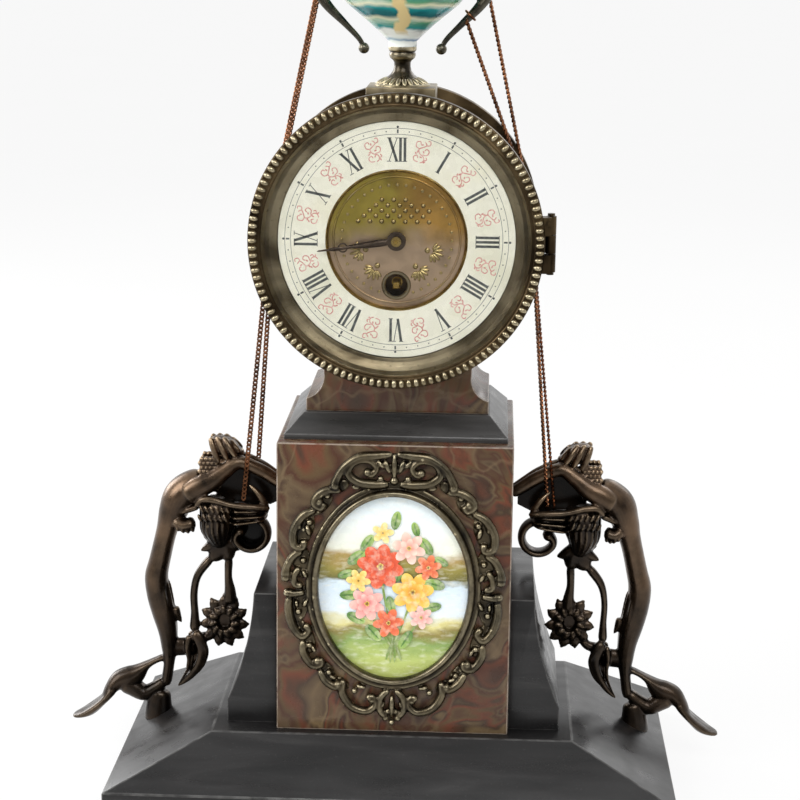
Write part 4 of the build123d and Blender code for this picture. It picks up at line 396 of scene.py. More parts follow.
SLATE = slate_finish("dark_slate", ("121212", "1a1919", "212020", "302f2e"))
# Paler copy of the dark slate for the upper plinth: painted sheen of its upward slopes
PAINTED_SHEEN_SLATE = slate_finish("hipped_slate_painted_sheen", ("2c2c2b", "383736", "424140", "4e4d4c"))
MARBLE = marble_finish()
BRONZE = cast_metal_finish("bronzed_casting", "15100b", "66513e", "c0a888", 0.34, 70, True)
# Near-black bronze for the sheets that stand in as painted shade in the figures' hollows
PAINTED_SHADE_BRONZE = cast_metal_finish("shadowed_bronze", "040302", "0d0906", "1c140d", 0.6)
FRAME_BRASS = cast_metal_finish("aged_frame_brass", "15110b", "5a4f3a", "cfc2a0", 0.32)
BEAD_BRASS = plain_metal_finish("worn_bead_brass", "b9ad90", "7a6d52", 0.3)
BEZEL_BRASS = turned_brass_finish("aged_bezel_brass", "564c39", "8b7f66", "aa9e82", 0.36)
DRUM_BRASS = turned_brass_finish("dark_drum_brass", "241d14", "4a3d2b", "6b5a40", 0.4)
# Both embossed finishes carry painted reflections laid out by place on the dial
CENTRE_BRASS = dial_centre_finish("embossed_brass", False)
RELIEF_BRASS = dial_centre_finish("embossed_relief", True)
GILT = plain_metal_finish("gilt_brass", "c2a868", "8a7040", 0.3)
BRIGHT_BRASS = plain_metal_finish("bright_brass", "c9a85c", "93733a", 0.28)
STEEL = plain_metal_finish("polished_steel", "9a9c9f", "6b6c6f", 0.3)
DULL_STEEL = plain_metal_finish("dull_steel", "67553f", "46382a", 0.4)
IRON = plain_metal_finish("rusty_iron", "4a4441", "5b3d2c", 0.55)
HAND_METAL = plain_metal_finish("browned_hands", "62554a", "42382f", 0.42)
COPPER = plain_metal_finish("copper_chain", "9c6a4a", "3a2115", 0.26)
HANDLE_BRASS = cast_metal_finish("handle_bronze", "0c0b0a", "34312c", "75705f", 0.38)
ENAMEL = enamel_finish()
NUMERAL_INK = ink_finish("numeral_ink", "3c403f", "666a66")
ORNAMENT_INK = ink_finish("ornament_ink", "c97f76", "dfb3a8")
GLASS = glass_finish()
PORCELAIN = porcelain_finish()
PAINTED_GROUND = painted_ground_finish()
PAINTED_FLOWERS = painted_flower_finish()


# Shared shapes
def finish_piece(name, shape, body, finish, sharp=32, stands_for=(), closed=True):
    """Joins a drawn shape's seams, scales it to metres and hands it to the frame."""
    if closed:
        bmesh.ops.remove_doubles(shape, verts=shape.verts, dist=0.002)
        bmesh.ops.recalc_face_normals(shape, faces=shape.faces)
    bmesh.ops.scale(shape, vec=(MM, MM, MM), verts=shape.verts)
    mesh = bpy.data.meshes.new(name)
    shape.to_mesh(mesh)
    shape.free()
    mesh.shade_smooth()
    mesh.set_sharp_from_angle(angle=math.radians(sharp))
    mesh.materials.append(finish)
    piece = bpy.data.objects.new(name, mesh)
    scene.collection.objects.link(piece)
    if stands_for:
        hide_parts(*stands_for)
    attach(piece, body)
    return piece


def smooth_point(path, place):
    """Values at a place along a path of points, on a smooth curve through them."""
    last = len(path) - 1
    index = min(int(place), last - 1)
    share = place - index
    before, start, end = path[max(index - 1, 0)], path[index], path[index + 1]
    after = path[min(index + 2, last)]
    values = []
    for a, b, c, d in zip(before, start, end, after):
        bend = (2 * a - 5 * b + 4 * c - d) * share ** 2 + (3 * b - a - 3 * c + d) * share ** 3
        values.append(0.5 * (2 * b + (c - a) * share + bend))
    return values


def limb(shape, path, around=14, along=6, flutes=0, flute_depth=0.0, ends=3):
    """Rounded form through (x, y, z, half width, half depth) points, with domed ends."""
    stations = along * (len(path) - 1)
    sections = []
    for station in range(stations + 1):
        x, y, z, width, depth = smooth_point(path, station / along)
        ahead = Vector(smooth_point(path, min(station / along + 0.02, len(path) - 1))[:3])
        behind = Vector(smooth_point(path, max(station / along - 0.02, 0))[:3])
        heading = (ahead - behind).normalized()
        across = heading.cross(Vector((0, 1, 0))).normalized()
        facing = across.cross(heading)
        from_end = min(station, stations - station)
        dome = math.sqrt(1 - (1 - from_end / ends) ** 2) if from_end < ends else 1.0
        sections.append((Vector((x, y, z)), across * width * dome, facing * depth * dome))
    grid = bmesh.ops.create_grid(shape, x_segments=stations, y_segments=around, size=1.0)
    for vert in grid["verts"]:
        middle, across, facing = sections[round((vert.co.x + 1) / 2 * stations)]
        angle = (vert.co.y + 1) * math.pi
        swell = 1 + flute_depth * math.cos(flutes * angle)
        vert.co = middle + (across * math.cos(angle) + facing * math.sin(angle)) * swell


def ball(shape, at, radii, turn=0.0, tilt=0.0, around=12, rings=8):
    """Rounded knob with three radii; turn is about the front axis and tilt about the upright one."""
    place = Matrix.Translation(at) @ Matrix.Rotation(tilt, 4, "Z") @ Matrix.Rotation(turn, 4, "Y")
    place = place @ Matrix.Diagonal((*radii, 1.0))
    bmesh.ops.create_uvsphere(shape, u_segments=around, v_segments=rings, radius=1.0, matrix=place)


def turned(shape, profile, steps, axis, rounding=0.0):
    """Adds a ring or disc turned from a closed profile of (radius, along the axis) corners."""
    lathe = bmesh.new()
    corners = [lathe.verts.new((radius, along, 0.0)) for radius, along in profile]
    for start, end in zip(corners, corners[1:] + corners[:1]):
        lathe.edges.new((start, end))
    if rounding:
        bmesh.ops.bevel(
            lathe, geom=corners, offset=rounding, offset_type="OFFSET", segments=3, profile=0.5,
            affect="VERTICES", material=-1, clamp_overlap=True)
    bmesh.ops.spin(
        lathe, geom=lathe.verts[:] + lathe.edges[:], cent=(0, 0, 0), axis=(0, 1, 0), angle=2 * math.pi,
        steps=steps, use_merge=True)
    bmesh.ops.transform(lathe, matrix=axis, verts=lathe.verts)
    mesh = bpy.data.meshes.new("turning")
    lathe.to_mesh(mesh)
    lathe.free()
    shape.from_mesh(mesh)
    bpy.data.meshes.remove(mesh)


DIAL_AXIS = Matrix.Translation((0, 0, DIAL_Z))
URN_AXIS = Matrix.Translation((0, URN_Y, 0)) @ Matrix.Rotation(math.pi / 2, 4, "X")


def soften(shape, width, angle=25, segments=2):
    """Rounds the sharp edges and marks them as worn."""
    limit = math.radians(angle)
    sharp = [edge for edge in shape.edges if edge.is_manifold and edge.calc_face_angle() > limit]
    wear = shape.loops.layers.float.new("wear")
    rounded = bmesh.ops.bevel(
        shape, geom=sharp, offset=width, offset_type="OFFSET", segments=segments, profile=0.5,
        affect="EDGES", material=-1, clamp_overlap=True)
    for face in rounded["faces"]:
        for loop in face.loops:
            loop[wear] = 1.0


def cast_in_one(shape, grain, rounds):
    """Fuses overlapping forms into one casting with softened joins."""
    bmesh.ops.remove_doubles(shape, verts=shape.verts, dist=0.002)
    bmesh.ops.recalc_face_normals(shape, faces=shape.faces)
    mesh = bpy.data.meshes.new("mould")
    shape.to_mesh(mesh)
    shape.free()
    mould = bpy.data.objects.new("mould", mesh)
    scene.collection.objects.link(mould)
    fuse = mould.modifiers.new("fuse", "REMESH")
    fuse.mode = "VOXEL"
    fuse.voxel_size = grain
    settled = mould.evaluated_get(bpy.context.evaluated_depsgraph_get())
    fused = bpy.data.meshes.new_from_object(settled)
    casting = bmesh.new()
    casting.from_mesh(fused)
    bpy.data.objects.remove(mould)
    bpy.data.meshes.remove(mesh)
    bpy.data.meshes.remove(fused)
    for _ in range(rounds):
        bmesh.ops.smooth_vert(
            casting, verts=casting.verts, factor=0.5, use_axis_x=True, use_axis_y=True, use_axis_z=True)
    return casting


# Camera
CAMERA_AT = (41.777, -971.668, 405.429)
CAMERA_YAW, CAMERA_PITCH, CAMERA_ROLL = -0.04321, 0.21518, -0.01223
CAMERA_LENS, CAMERA_SHIFT = 94.52, -0.02836


def place_camera():
    """Camera at the photograph's own place and angle."""
    lens = bpy.data.cameras.new("photo_camera")
    lens.sensor_width = 36.0
    lens.lens = CAMERA_LENS
    lens.shift_y = CAMERA_SHIFT
    lens.clip_start = 0.05
    camera = bpy.data.objects.new("photo_camera", lens)
    level = math.cos(CAMERA_PITCH)
    ahead = Vector((math.sin(CAMERA_YAW) * level, math.cos(CAMERA_YAW) * level, -math.sin(CAMERA_PITCH)))
    right = Vector((math.cos(CAMERA_YAW), -math.sin(CAMERA_YAW), 0))
    down = ahead.cross(right)
    side = right * math.cos(CAMERA_ROLL) + down * math.sin(CAMERA_ROLL)
    foot = down * math.cos(CAMERA_ROLL) - right * math.sin(CAMERA_ROLL)
    turn = Matrix((side, -foot, -ahead)).transposed().to_4x4()
    camera.matrix_world = Matrix.Translation(Vector(CAMERA_AT) * MM) @ turn
    scene.collection.objects.link(camera)
    scene.camera = camera


place_camera()

# Chains: two strands on each side, from the handles round the drum's waist to the figures.
# A hook is (out, beside the handle, height), a strand (side, hook, face, end's out, end's across).
HIGH_HOOK, LOW_HOOK = (38.01, 4.524, 373.47), (28.384, 3.624, 361.54)
STRANDS = {
    "chain_left_front": (-1, HIGH_HOOK, -1, 21.6, -5.6),
    "chain_left_back": (-1, HIGH_HOOK, 1, 17.0, 8.8),
    "chain_right_front": (1, LOW_HOOK, -1, 17.4, -5.6),
    "chain_right_back": (1, HIGH_HOOK, 1, 20.6, -5.6),
}
CHAIN_WIDTH, CHAIN_GAP, CHAIN_END_Z = 2.6, 0.3, 128.9
WRAP_R, WRAP_EASE = WAIST_R + CHAIN_WIDTH / 2 + CHAIN_GAP, 15.6
LINK_WIRE = 0.48
LINK_PITCH = 2.2
LINK_STRETCH = 1.5
LINK_TWIST = 0.7
LINK_LEAN = 0.35


def touch_angle(point, turn):
    """Angle on the drum's waist where a line from a point outside touches it."""
    x, up = point.x, point.z - DIAL_Z
    return math.atan2(up, x) + turn * math.acos(WRAP_R / math.hypot(x, up))


def route_corners(side, hook, face, end_out, end_across):
    """Points, to a hundredth, that lead a strand from its hook round the waist to its end on the figure."""
    out, beside, height = hook
    top = Vector((out, URN_Y + face * beside, height))
    end = Vector((FIGURE_X + end_out, FIGURE_Y + end_across, CHAIN_END_Z))
    upper, lower = touch_angle(top, -1), touch_angle(end, 1)
    reach, middle = WRAP_R / math.cos((upper - lower) / 2), (upper + lower) / 2
    x, z = reach * math.cos(middle), DIAL_Z + reach * math.sin(middle)
    share = (top.z - z) / (top.z - end.z)
    corner = Vector((x, top.y + (end.y - top.y) * share, z))
    before = corner.lerp(top, WRAP_EASE / (top - corner).length)
    after = corner.lerp(end, WRAP_EASE / (end - corner).length)
    points = (top, before, corner, after, end)
    return [(round(side * point.x, 2), round(point.y, 2), round(point.z, 2)) for point in points]


def route_line(name, corners):
    """Points along the smooth line that a strand follows, in millimetres."""
    curve = bpy.data.curves.new(name, "CURVE")
    curve.dimensions = "3D"
    curve.resolution_u = 20
    spline = curve.splines.new("NURBS")
    spline.points.add(len(corners) - 1)
    for point, corner in zip(spline.points, corners):
        point.co = (*corner, 1.0)
    spline.order_u = 3
    spline.use_endpoint_u = True
    holder = bpy.data.objects.new(name, curve)
    scene.collection.objects.link(holder)
    line = bpy.data.meshes.new_from_object(holder)
    points = [vertex.co.copy() for vertex in line.vertices]
    bpy.data.objects.remove(holder)
    bpy.data.curves.remove(curve)
    bpy.data.meshes.remove(line)
    return points


def chain_link():
    """One oval link of round wire, long along X."""
    shape = bmesh.new()
    ring_r = CHAIN_WIDTH / 2 - LINK_WIRE
    place = Matrix.Translation((ring_r, 0, 0)) @ Matrix.Rotation(math.pi / 2, 4, "X")
    wire = bmesh.ops.create_circle(shape, segments=5, radius=LINK_WIRE, matrix=place)
    rim = list({edge for vert in wire["verts"] for edge in vert.link_edges})
    bmesh.ops.spin(
        shape, geom=wire["verts"] + rim, cent=(0, 0, 0), axis=(0, 0, 1), angle=2 * math.pi, steps=10,
        use_merge=True)
    bmesh.ops.remove_doubles(shape, verts=shape.verts, dist=0.002)
    bmesh.ops.scale(shape, vec=(LINK_STRETCH, 1, 1), verts=shape.verts)
    lean = Matrix.Rotation(LINK_TWIST, 4, "X") @ Matrix.Rotation(LINK_LEAN, 4, "Y")
    bmesh.ops.transform(shape, matrix=lean, verts=shape.verts)
    mesh = bpy.data.meshes.new("link")
    shape.to_mesh(mesh)
    shape.free()
    return mesh


def chain_strand(name, link, node):
    """Links laid along a strand's line, each leaning on the next."""
    points = route_line(name, route_corners(*STRANDS[name]))
    shape = bmesh.new()
    travelled = 0.0
    due = LINK_PITCH / 2
    for start, end in zip(points, points[1:]):
        step = (end - start).length
        while due <= travelled + step:
            spot = start.lerp(end, (due - travelled) / step)
            heading = (end - start).normalized()
            place = Matrix.Translation(spot) @ heading.to_track_quat("X", "Z").to_matrix().to_4x4()
            known = len(shape.verts)
            shape.from_mesh(link)
            shape.verts.ensure_lookup_table()
            bmesh.ops.transform(shape, matrix=place, verts=shape.verts[known:])
            due += LINK_PITCH
        travelled += step
    piece = finish_piece(name, shape, "case", COPPER, 60, (node,))


def hang_chains():
    """All four strands."""
    link = chain_link()
    for name in STRANDS:
        chain_strand(name, link, "left_chain" if "left" in name else "right_chain")
    bpy.data.meshes.remove(link)


hang_chains()


# Stone case
WING_STEPS = 12


def stone_block(shape, width, depth, low, high):
    """Plain upright block about the middle of the clock; returns its top face."""
    place = Matrix.Translation((0, 0, (low + high) / 2)) @ Matrix.Diagonal((width, depth, high - low, 1))
    made = bmesh.ops.create_cube(shape, size=1.0, matrix=place)
    faces = {face for vert in made["verts"] for face in vert.link_faces}
    return max(faces, key=lambda face: face.calc_center_median().z)


def hipped_slab(width, depth, low, band, top_width, top_depth, high):
    """Slab with an upright band and slopes up to a smaller top."""
    shape = bmesh.new()
    top = stone_block(shape, width, depth, low, band)
    raised = bmesh.ops.extrude_face_region(shape, geom=[top])
    verts = [item for item in raised["geom"] if isinstance(item, bmesh.types.BMVert)]
    bmesh.ops.delete(shape, geom=[top], context="FACES_ONLY")
    bmesh.ops.translate(shape, vec=(0, 0, high - band), verts=verts)
    bmesh.ops.scale(shape, vec=(top_width / width, top_depth / depth, 1), verts=verts)
    return shape


def profile_block(outline, depth):
    """Block with a front outline of (x, height) corners, centred in depth."""
    shape = bmesh.new()
    corners = [shape.verts.new((x, -depth / 2, z)) for x, z in outline]
    face = shape.faces.new(corners)
    pushed = bmesh.ops.extrude_face_region(shape, geom=[face])
    verts = [item for item in pushed["geom"] if isinstance(item, bmesh.types.BMVert)]
    bmesh.ops.translate(shape, vec=(0, depth, 0), verts=verts)
    bmesh.ops.recalc_face_normals(shape, faces=shape.faces)
    return shape


def build_stones():
    """Base, wings, pier, upper plinth and the block under the drum."""
    base = hipped_slab(BASE_W, BASE_D, 0, BASE_BAND, BASE_TOP_W, BASE_TOP_D, BASE_H)
    soften(base, 0.7)
    finish_piece("base_plinth_stone", base, "case", SLATE, 30, ("base_plinth",))
    pier = bmesh.new()
    stone_block(pier, PIER_W, PIER_D, BASE_H, PIER_TOP)
    soften(pier, 0.6)
    finish_piece("marble_pier_stone", pier, "case", MARBLE, 30, ("marble_pier",))
    plinth = hipped_slab(PLINTH_W, PLINTH_D, PIER_TOP, PLINTH_BAND, PLINTH_TOP_W, PLINTH_TOP_D, PLINTH_TOP)
    soften(plinth, 0.4, 15)
    finish_piece("upper_plinth_stone", plinth, "case", PAINTED_SHEEN_SLATE, 30, ("upper_plinth",))
    for side, name in ((-1, "left_wing"), (1, "right_wing")):
        inner = side * PIER_W / 2
        outline = [(inner, WING_TOP), (inner, BASE_H), (side * WING_FOOT, BASE_H)]
        for index in range(WING_STEPS + 1):
            share = index / WING_STEPS
            hollow = WING_HOLLOW * 4 * share * (1 - share)
            x = WING_FOOT + (WING_HEAD - WING_FOOT) * share - hollow
            outline.append((side * x, WING_BAND + (WING_TOP - WING_BAND) * share))
        wing = profile_block(outline, WING_D)
        soften(wing, 0.5, 40)
        finish_piece(name + "_stone", wing, "case", SLATE, 30, (name,))
    block = bmesh.new()
    block.from_mesh(nodes["drum_block"].data)
    bmesh.ops.scale(block, vec=(1 / MM, 1 / MM, 1 / MM), verts=block.verts)
    bmesh.ops.remove_doubles(block, verts=block.verts, dist=0.01)
    soften(block, 0.5, 35)
    finish_piece("drum_block_stone", block, "case", MARBLE, 30, ("drum_block",))


build_stones()


# Drum, bezel and back. Profiles are (radius, along the dial's axis).
DRUM_WALL, WAIST_FRONT, WAIST_BACK = 1.5, -54.7, 13.0
DRUM_IN_R, WAIST_IN_R, WAIST_SHOULDER = DRUM_R - DRUM_WALL, WAIST_R - DRUM_WALL, WAIST_BACK + DRUM_WALL
LIP_R, LIP_IN_R, LIP_FRONT = DRUM_IN_R - 0.3, DRUM_IN_R - 1.5, 15.0
COVER_IN, COVER_OUT, COVER_EDGE = 21.8, 23.0, 21.2
KNOB_DROP = 30.9
SEAT_R, SEAT_FRONT = 60.42, -65.3
DRUM_PROFILE = [
    (DRUM_IN_R, DRUM_FRONT), (DRUM_R, DRUM_FRONT), (DRUM_R, WAIST_FRONT), (WAIST_R, WAIST_FRONT),
    (WAIST_R, WAIST_BACK), (DRUM_R, WAIST_BACK), (DRUM_R, DRUM_BACK), (DRUM_IN_R, DRUM_BACK),
    (DRUM_IN_R, WAIST_SHOULDER), (WAIST_IN_R, WAIST_SHOULDER), (WAIST_IN_R, CENTRE_FRONT),
    (DRUM_IN_R, CENTRE_FRONT)]
BACK_COVER_PROFILE = [
    (0.01, COVER_IN), (55.3, COVER_IN), (58.3, DRUM_BACK), (LIP_IN_R, DRUM_BACK), (LIP_IN_R, LIP_FRONT),
    (LIP_R, LIP_FRONT), (LIP_R, DRUM_BACK), (DRUM_R, DRUM_BACK), (DRUM_R, COVER_EDGE), (58.9, COVER_EDGE),
    (55.9, COVER_OUT), (30.0, COVER_OUT), (29.4, 22.7), (28.8, COVER_OUT), (0.01, COVER_OUT)]
KNOB_PROFILE = [
    (0.01, 22.5), (1.8, 22.5), (1.8, 25.0), (2.4, 26.2), (3.6, 26.9), (3.6, 28.6), (2.9, 30.0),
    (0.01, 30.0)]
BEZEL_PROFILE = [
    (BEZEL_R, BEZEL_BACK), (BEZEL_R, -65.6), (64.4, BEZEL_FRONT), (61.0, BEZEL_FRONT), (60.5, -65.75),
    (59.9, -66.0), (59.2, -65.75), (59.2, SEAT_FRONT), (SEAT_R, SEAT_FRONT), (SEAT_R, BEZEL_BACK)]
SLIP_PROFILE = [
    (GLASS_R, -63.5), (GLASS_R, BEZEL_BACK), (59.5, BEZEL_BACK), (56.1, -58.95), (52.7, -58.5),
    (52.7, -59.3), (54.2, -59.5), (56.1, -60.2), (58.0, -61.4), (59.5, -63.5)]


def about_dial(radius, angle, y):
    """Place at a radius and a clockwise angle about the dial's axis."""
    return Vector((radius * math.sin(angle), y, DIAL_Z + radius * math.cos(angle)))


def build_drum():
    """Drum with its rims, the back cover and the hinged bezel."""
    drum = bmesh.new()
    turned(drum, DRUM_PROFILE, 144, DIAL_AXIS, 0.3)
    finish_piece("drum_case_turned", drum, "case", DRUM_BRASS, 32, ("drum_case",))
    cover = bmesh.new()
    turned(cover, BACK_COVER_PROFILE, 120, DIAL_AXIS, 0.2)
    turned(cover, KNOB_PROFILE, 32, Matrix.Translation((0, 0, DIAL_Z - KNOB_DROP)), 0.25)
    finish_piece("back_cover_turned", cover, "case", BEZEL_BRASS, 32, ("back_cover",))
    bezel = bmesh.new()
    turned(bezel, BEZEL_PROFILE, 180, DIAL_AXIS, 0.12)
    finish_piece("bezel_ring_turned", bezel, "bezel_door", DRUM_BRASS, 32, ("bezel_ring",))
    beads = bmesh.new()
    for index in range(BEAD_COUNT):
        angle = 2 * math.pi * index / BEAD_COUNT
        at = about_dial(BEAD_RING_R, angle, BEZEL_FRONT)
        ball(beads, at, (BEAD_HALF_W, BEAD_R, BEAD_HALF_L), angle, 0, 8, 6)
    finish_piece("bezel_beads", beads, "bezel_door", BEAD_BRASS, 50, ("bezel_ring",))
    slip = bmesh.new()
    turned(slip, SLIP_PROFILE, 160, DIAL_AXIS, 0.12)
    finish_piece("bezel_slip_spun", slip, "bezel_door", BEZEL_BRASS, 40, ("bezel_slip",))


build_drum()


# Dial printing
NUMERALS = ("XII", "I", "II", "III", "IIII", "V", "VI", "VII", "VIII", "IX", "X", "XI")
NUMERAL_FOOT, NUMERAL_HEAD = 34.9, 45.1
THICK, THIN, SERIF = 1.15, 0.34, 0.3
GLYPH_WIDTH = {"I": 1.95, "V": 4.3, "X": 4.5}
GLYPH_INSET, SERIF_REACH = 0.55, 0.95
PRINT_T = 0.08
# Minute track: radii of its lines, then marks as (inner end, outer end, width)
TRACK_LINES, TRACK_LINE_W = (46.7, 49.3), 0.2
MINUTE_MARK, FIVE_MARK = (47.75, 48.25, 0.5), (47.2, 48.8, 0.75)
FIVE_DOT_OUT, FIVE_DOT_R = 49.9, 0.55


def on_dial(hour, across, out):
    """Place on the chapter ring: across and out from the centre at an hour of the dial."""
    angle = math.radians(hour * 30)
    x = across * math.cos(angle) + out * math.sin(angle)
    return Vector((x, CHAPTER_FRONT, DIAL_Z + out * math.cos(angle) - across * math.sin(angle)))


def stroke(shape, hour, start, end, width):
    """Straight printed stroke between two (across, out) points."""
    head, tail = on_dial(hour, *start), on_dial(hour, *end)
    along = tail - head
    place = Matrix.Translation((head + tail) / 2)
    place = place @ Matrix.Rotation(-math.atan2(along.z, along.x), 4, "Y")
    place = place @ Matrix.Diagonal((along.length, PRINT_T, width, 1))
    bmesh.ops.create_cube(shape, size=1.0, matrix=place)


def glyph(shape, hour, letter, left):
    """One letter of a numeral, thick and thin strokes with serifs."""
    width = GLYPH_WIDTH[letter]
    middle = left + width / 2
    reach = width / 2 - GLYPH_INSET
    if letter == "I":
        stroke(shape, hour, (middle, NUMERAL_FOOT), (middle, NUMERAL_HEAD), THICK)
        feet = [(middle, NUMERAL_FOOT), (middle, NUMERAL_HEAD)]
    elif letter == "V":
        stroke(shape, hour, (middle - reach, NUMERAL_HEAD), (middle, NUMERAL_FOOT), THICK)
        stroke(shape, hour, (middle + reach, NUMERAL_HEAD), (middle, NUMERAL_FOOT), THIN)
        feet = [(middle - reach, NUMERAL_HEAD), (middle + reach, NUMERAL_HEAD)]
    else:
        stroke(shape, hour, (middle - reach, NUMERAL_HEAD), (middle + reach, NUMERAL_FOOT), THICK)
        stroke(shape, hour, (middle + reach, NUMERAL_HEAD), (middle - reach, NUMERAL_FOOT), THIN)
        feet = [(middle + turn * reach, end) for turn in (-1, 1) for end in (NUMERAL_FOOT, NUMERAL_HEAD)]
    for across, out in feet:
        stroke(shape, hour, (across - SERIF_REACH, out), (across + SERIF_REACH, out), SERIF)


def build_numerals():
    """Hours and the minute track."""
    shape = bmesh.new()
    for hour, letters in enumerate(NUMERALS):
        left = -sum(GLYPH_WIDTH[letter] for letter in letters) / 2
        for letter in letters:
            glyph(shape, hour, letter, left)
            left += GLYPH_WIDTH[letter]
    back, front = CHAPTER_FRONT + PRINT_T / 2, CHAPTER_FRONT - PRINT_T / 2
    for radius in TRACK_LINES:
        inner, outer = radius - TRACK_LINE_W / 2, radius + TRACK_LINE_W / 2
        turned(shape, [(inner, back), (outer, back), (outer, front), (inner, front)], 120, DIAL_AXIS)
    for minute in range(60):
        hour = minute / 5
        inner, outer, width = MINUTE_MARK if minute % 5 else FIVE_MARK
        stroke(shape, hour, (0, inner), (0, outer), width)
        if minute % 5 == 0:
            ball(shape, on_dial(hour, 0, FIVE_DOT_OUT), (FIVE_DOT_R, PRINT_T / 2, FIVE_DOT_R), 0, 0, 8, 4)
    finish_piece("dial_numerals", shape, "case", NUMERAL_INK, 40)


ORNAMENT_SCROLLS = [
    [(0.2, 35.6), (1.7, 36.6), (1.5, 38.4), (-0.6, 39.6), (-1.4, 41.4), (0.2, 42.6), (1.5, 43.8),
     (0.3, 45.2)],
    [(-0.2, 36.0), (-2.2, 36.2), (-2.8, 37.8), (-1.4, 38.6), (-0.9, 37.4)],
    [(0.4, 39.4), (2.6, 39.6), (3.2, 41.4), (1.9, 42.2), (1.2, 41.1)],
    [(-0.8, 41.6), (-2.8, 42.2), (-3.0, 44.2), (-1.5, 44.7), (-1.1, 43.5)],
    [(1.4, 43.6), (2.9, 44.2), (2.7, 45.8), (1.5, 45.6)],
    [(1.5, 37.0), (3.0, 37.6), (2.4, 38.8)],
]
ORNAMENT_LEAVES = [(0.9, 40.6), (-1.7, 40.2), (-0.4, 43.6), (2.2, 36.4), (-2.3, 39.4), (0.2, 38.2)]


def build_ornaments():
    """Pale red scrolls between the hours."""
    shape = bmesh.new()
    for index in range(12):
        hour = index + 0.5
        for scroll in ORNAMENT_SCROLLS:
            path = [(*on_dial(hour, *point), 0.24, PRINT_T / 2) for point in scroll]
            limb(shape, path, 4, 3, ends=1)
        for leaf in ORNAMENT_LEAVES:
            ball(shape, on_dial(hour, *leaf), (0.75, PRINT_T / 2, 0.36), hour * 0.7 + leaf[0], 0, 6, 4)
    finish_piece("dial_ornaments", shape, "case", ORNAMENT_INK, 40)


STUD_AT, STUD_GAP, STUD_ROW, STUD_R = (-1.5, 8.2), 5.2, 2.4, 1.1
STUD_ROWS, STUD_FIELD_R = 5, 19.5
CENTRE_LINE_R, CENTRE_LINE_W, CENTRE_BEAD_R, CENTRE_BEADS = 28.0, 0.55, 24.4, 40
RELIEF_LIFT, WINDING_CLEAR_R = 0.5, 7.6
PALMETTES, PALMETTE_FAN, PALMETTE_OUT, PALMETTE_ROOT = (3.6, 4.8, 7.2, 8.4), 0.42, 16.2, 14.3


def build_centre_relief():
    """Trellis of studs above, palmettes below, and a ring of beads raised on the dial's centre."""
    shape = bmesh.new()
    lift, size = RELIEF_LIFT, CENTRE_LINE_W
    turned(shape, [
        (CENTRE_LINE_R - size, CENTRE_FRONT + 0.1), (CENTRE_LINE_R + size, CENTRE_FRONT + 0.1),
        (CENTRE_LINE_R + size / 2, CENTRE_FRONT - lift), (CENTRE_LINE_R - size / 2, CENTRE_FRONT - lift)],
        96, DIAL_AXIS, 0.15)
    winding_hole = Vector((0, CENTRE_FRONT, DIAL_Z - WINDING_DROP))
    for index in range(CENTRE_BEADS):
        place = about_dial(CENTRE_BEAD_R, 2 * math.pi * index / CENTRE_BEADS, CENTRE_FRONT)
        if (place - winding_hole).length > WINDING_CLEAR_R:
            ball(shape, place, (0.75, lift, 0.75), 0, 0, 8, 4)
    for row in range(STUD_ROWS):
        for column in range(-4, 5):
            x = STUD_AT[0] + STUD_GAP * (column + row % 2 / 2)
            z = STUD_AT[1] + STUD_ROW * row
            if math.hypot(x, z) < STUD_FIELD_R:
                ball(shape, (x, CENTRE_FRONT, DIAL_Z + z), (STUD_R, lift + 0.4, STUD_R), 0, 0, 10, 6)
    for hour in PALMETTES:
        angle = math.radians(hour * 30)
        for petal in range(-3, 4):
            fan = petal * PALMETTE_FAN
            reach = 5.2 - 0.45 * abs(petal)
            middle = PALMETTE_OUT + math.cos(fan) * reach / 1.7
            across = math.sin(fan) * reach / 1.35
            at = on_dial(hour, across, middle)
            at.y = CENTRE_FRONT
            ball(shape, at, (0.75, lift + 0.2, reach / 2), angle + fan, 0, 8, 6)
        ball(shape, about_dial(PALMETTE_ROOT, angle, CENTRE_FRONT), (1.3, lift + 0.3, 1.3), 0, 0, 10, 6)
    finish_piece("dial_centre_relief", shape, "case", RELIEF_BRASS, 40)


# Minute hand: (out from the centre, half width)
HAND_ANGLE, HAND_BACK, HAND_T = 261.8, -60.4, 0.6
HAND_HOLE_R, HAND_BOSS_R = 1.22, 4.2
MINUTE_HAND = [
    (3.0, 0.9), (7.0, 1.25), (12.0, 0.8), (19.0, 0.6), (24.5, 0.75), (27.5, 0.9), (30.5, 0.55), (35.4, 0.3)]


def build_minute_hand():
    """Slender minute hand with a round boss and a swelling before its fine tip."""
    shape = bmesh.new()
    front = HAND_BACK - HAND_T
    turned(shape, [
        (HAND_HOLE_R, HAND_BACK), (HAND_BOSS_R, HAND_BACK), (HAND_BOSS_R, front), (HAND_HOLE_R, front)],
        48, DIAL_AXIS, 0.1)
    path = []
    for out, width in MINUTE_HAND:
        spot = about_dial(out, math.radians(HAND_ANGLE), (HAND_BACK + front) / 2)
        path.append((*spot, width, HAND_T / 2))
    limb(shape, path, 10, 4, ends=1)
    finish_piece(
        "minute_hand_worked", shape, "minute_work", HAND_METAL, 40, ("minute_hand",))


build_numerals()
build_ornaments()
build_centre_relief()
build_minute_hand()


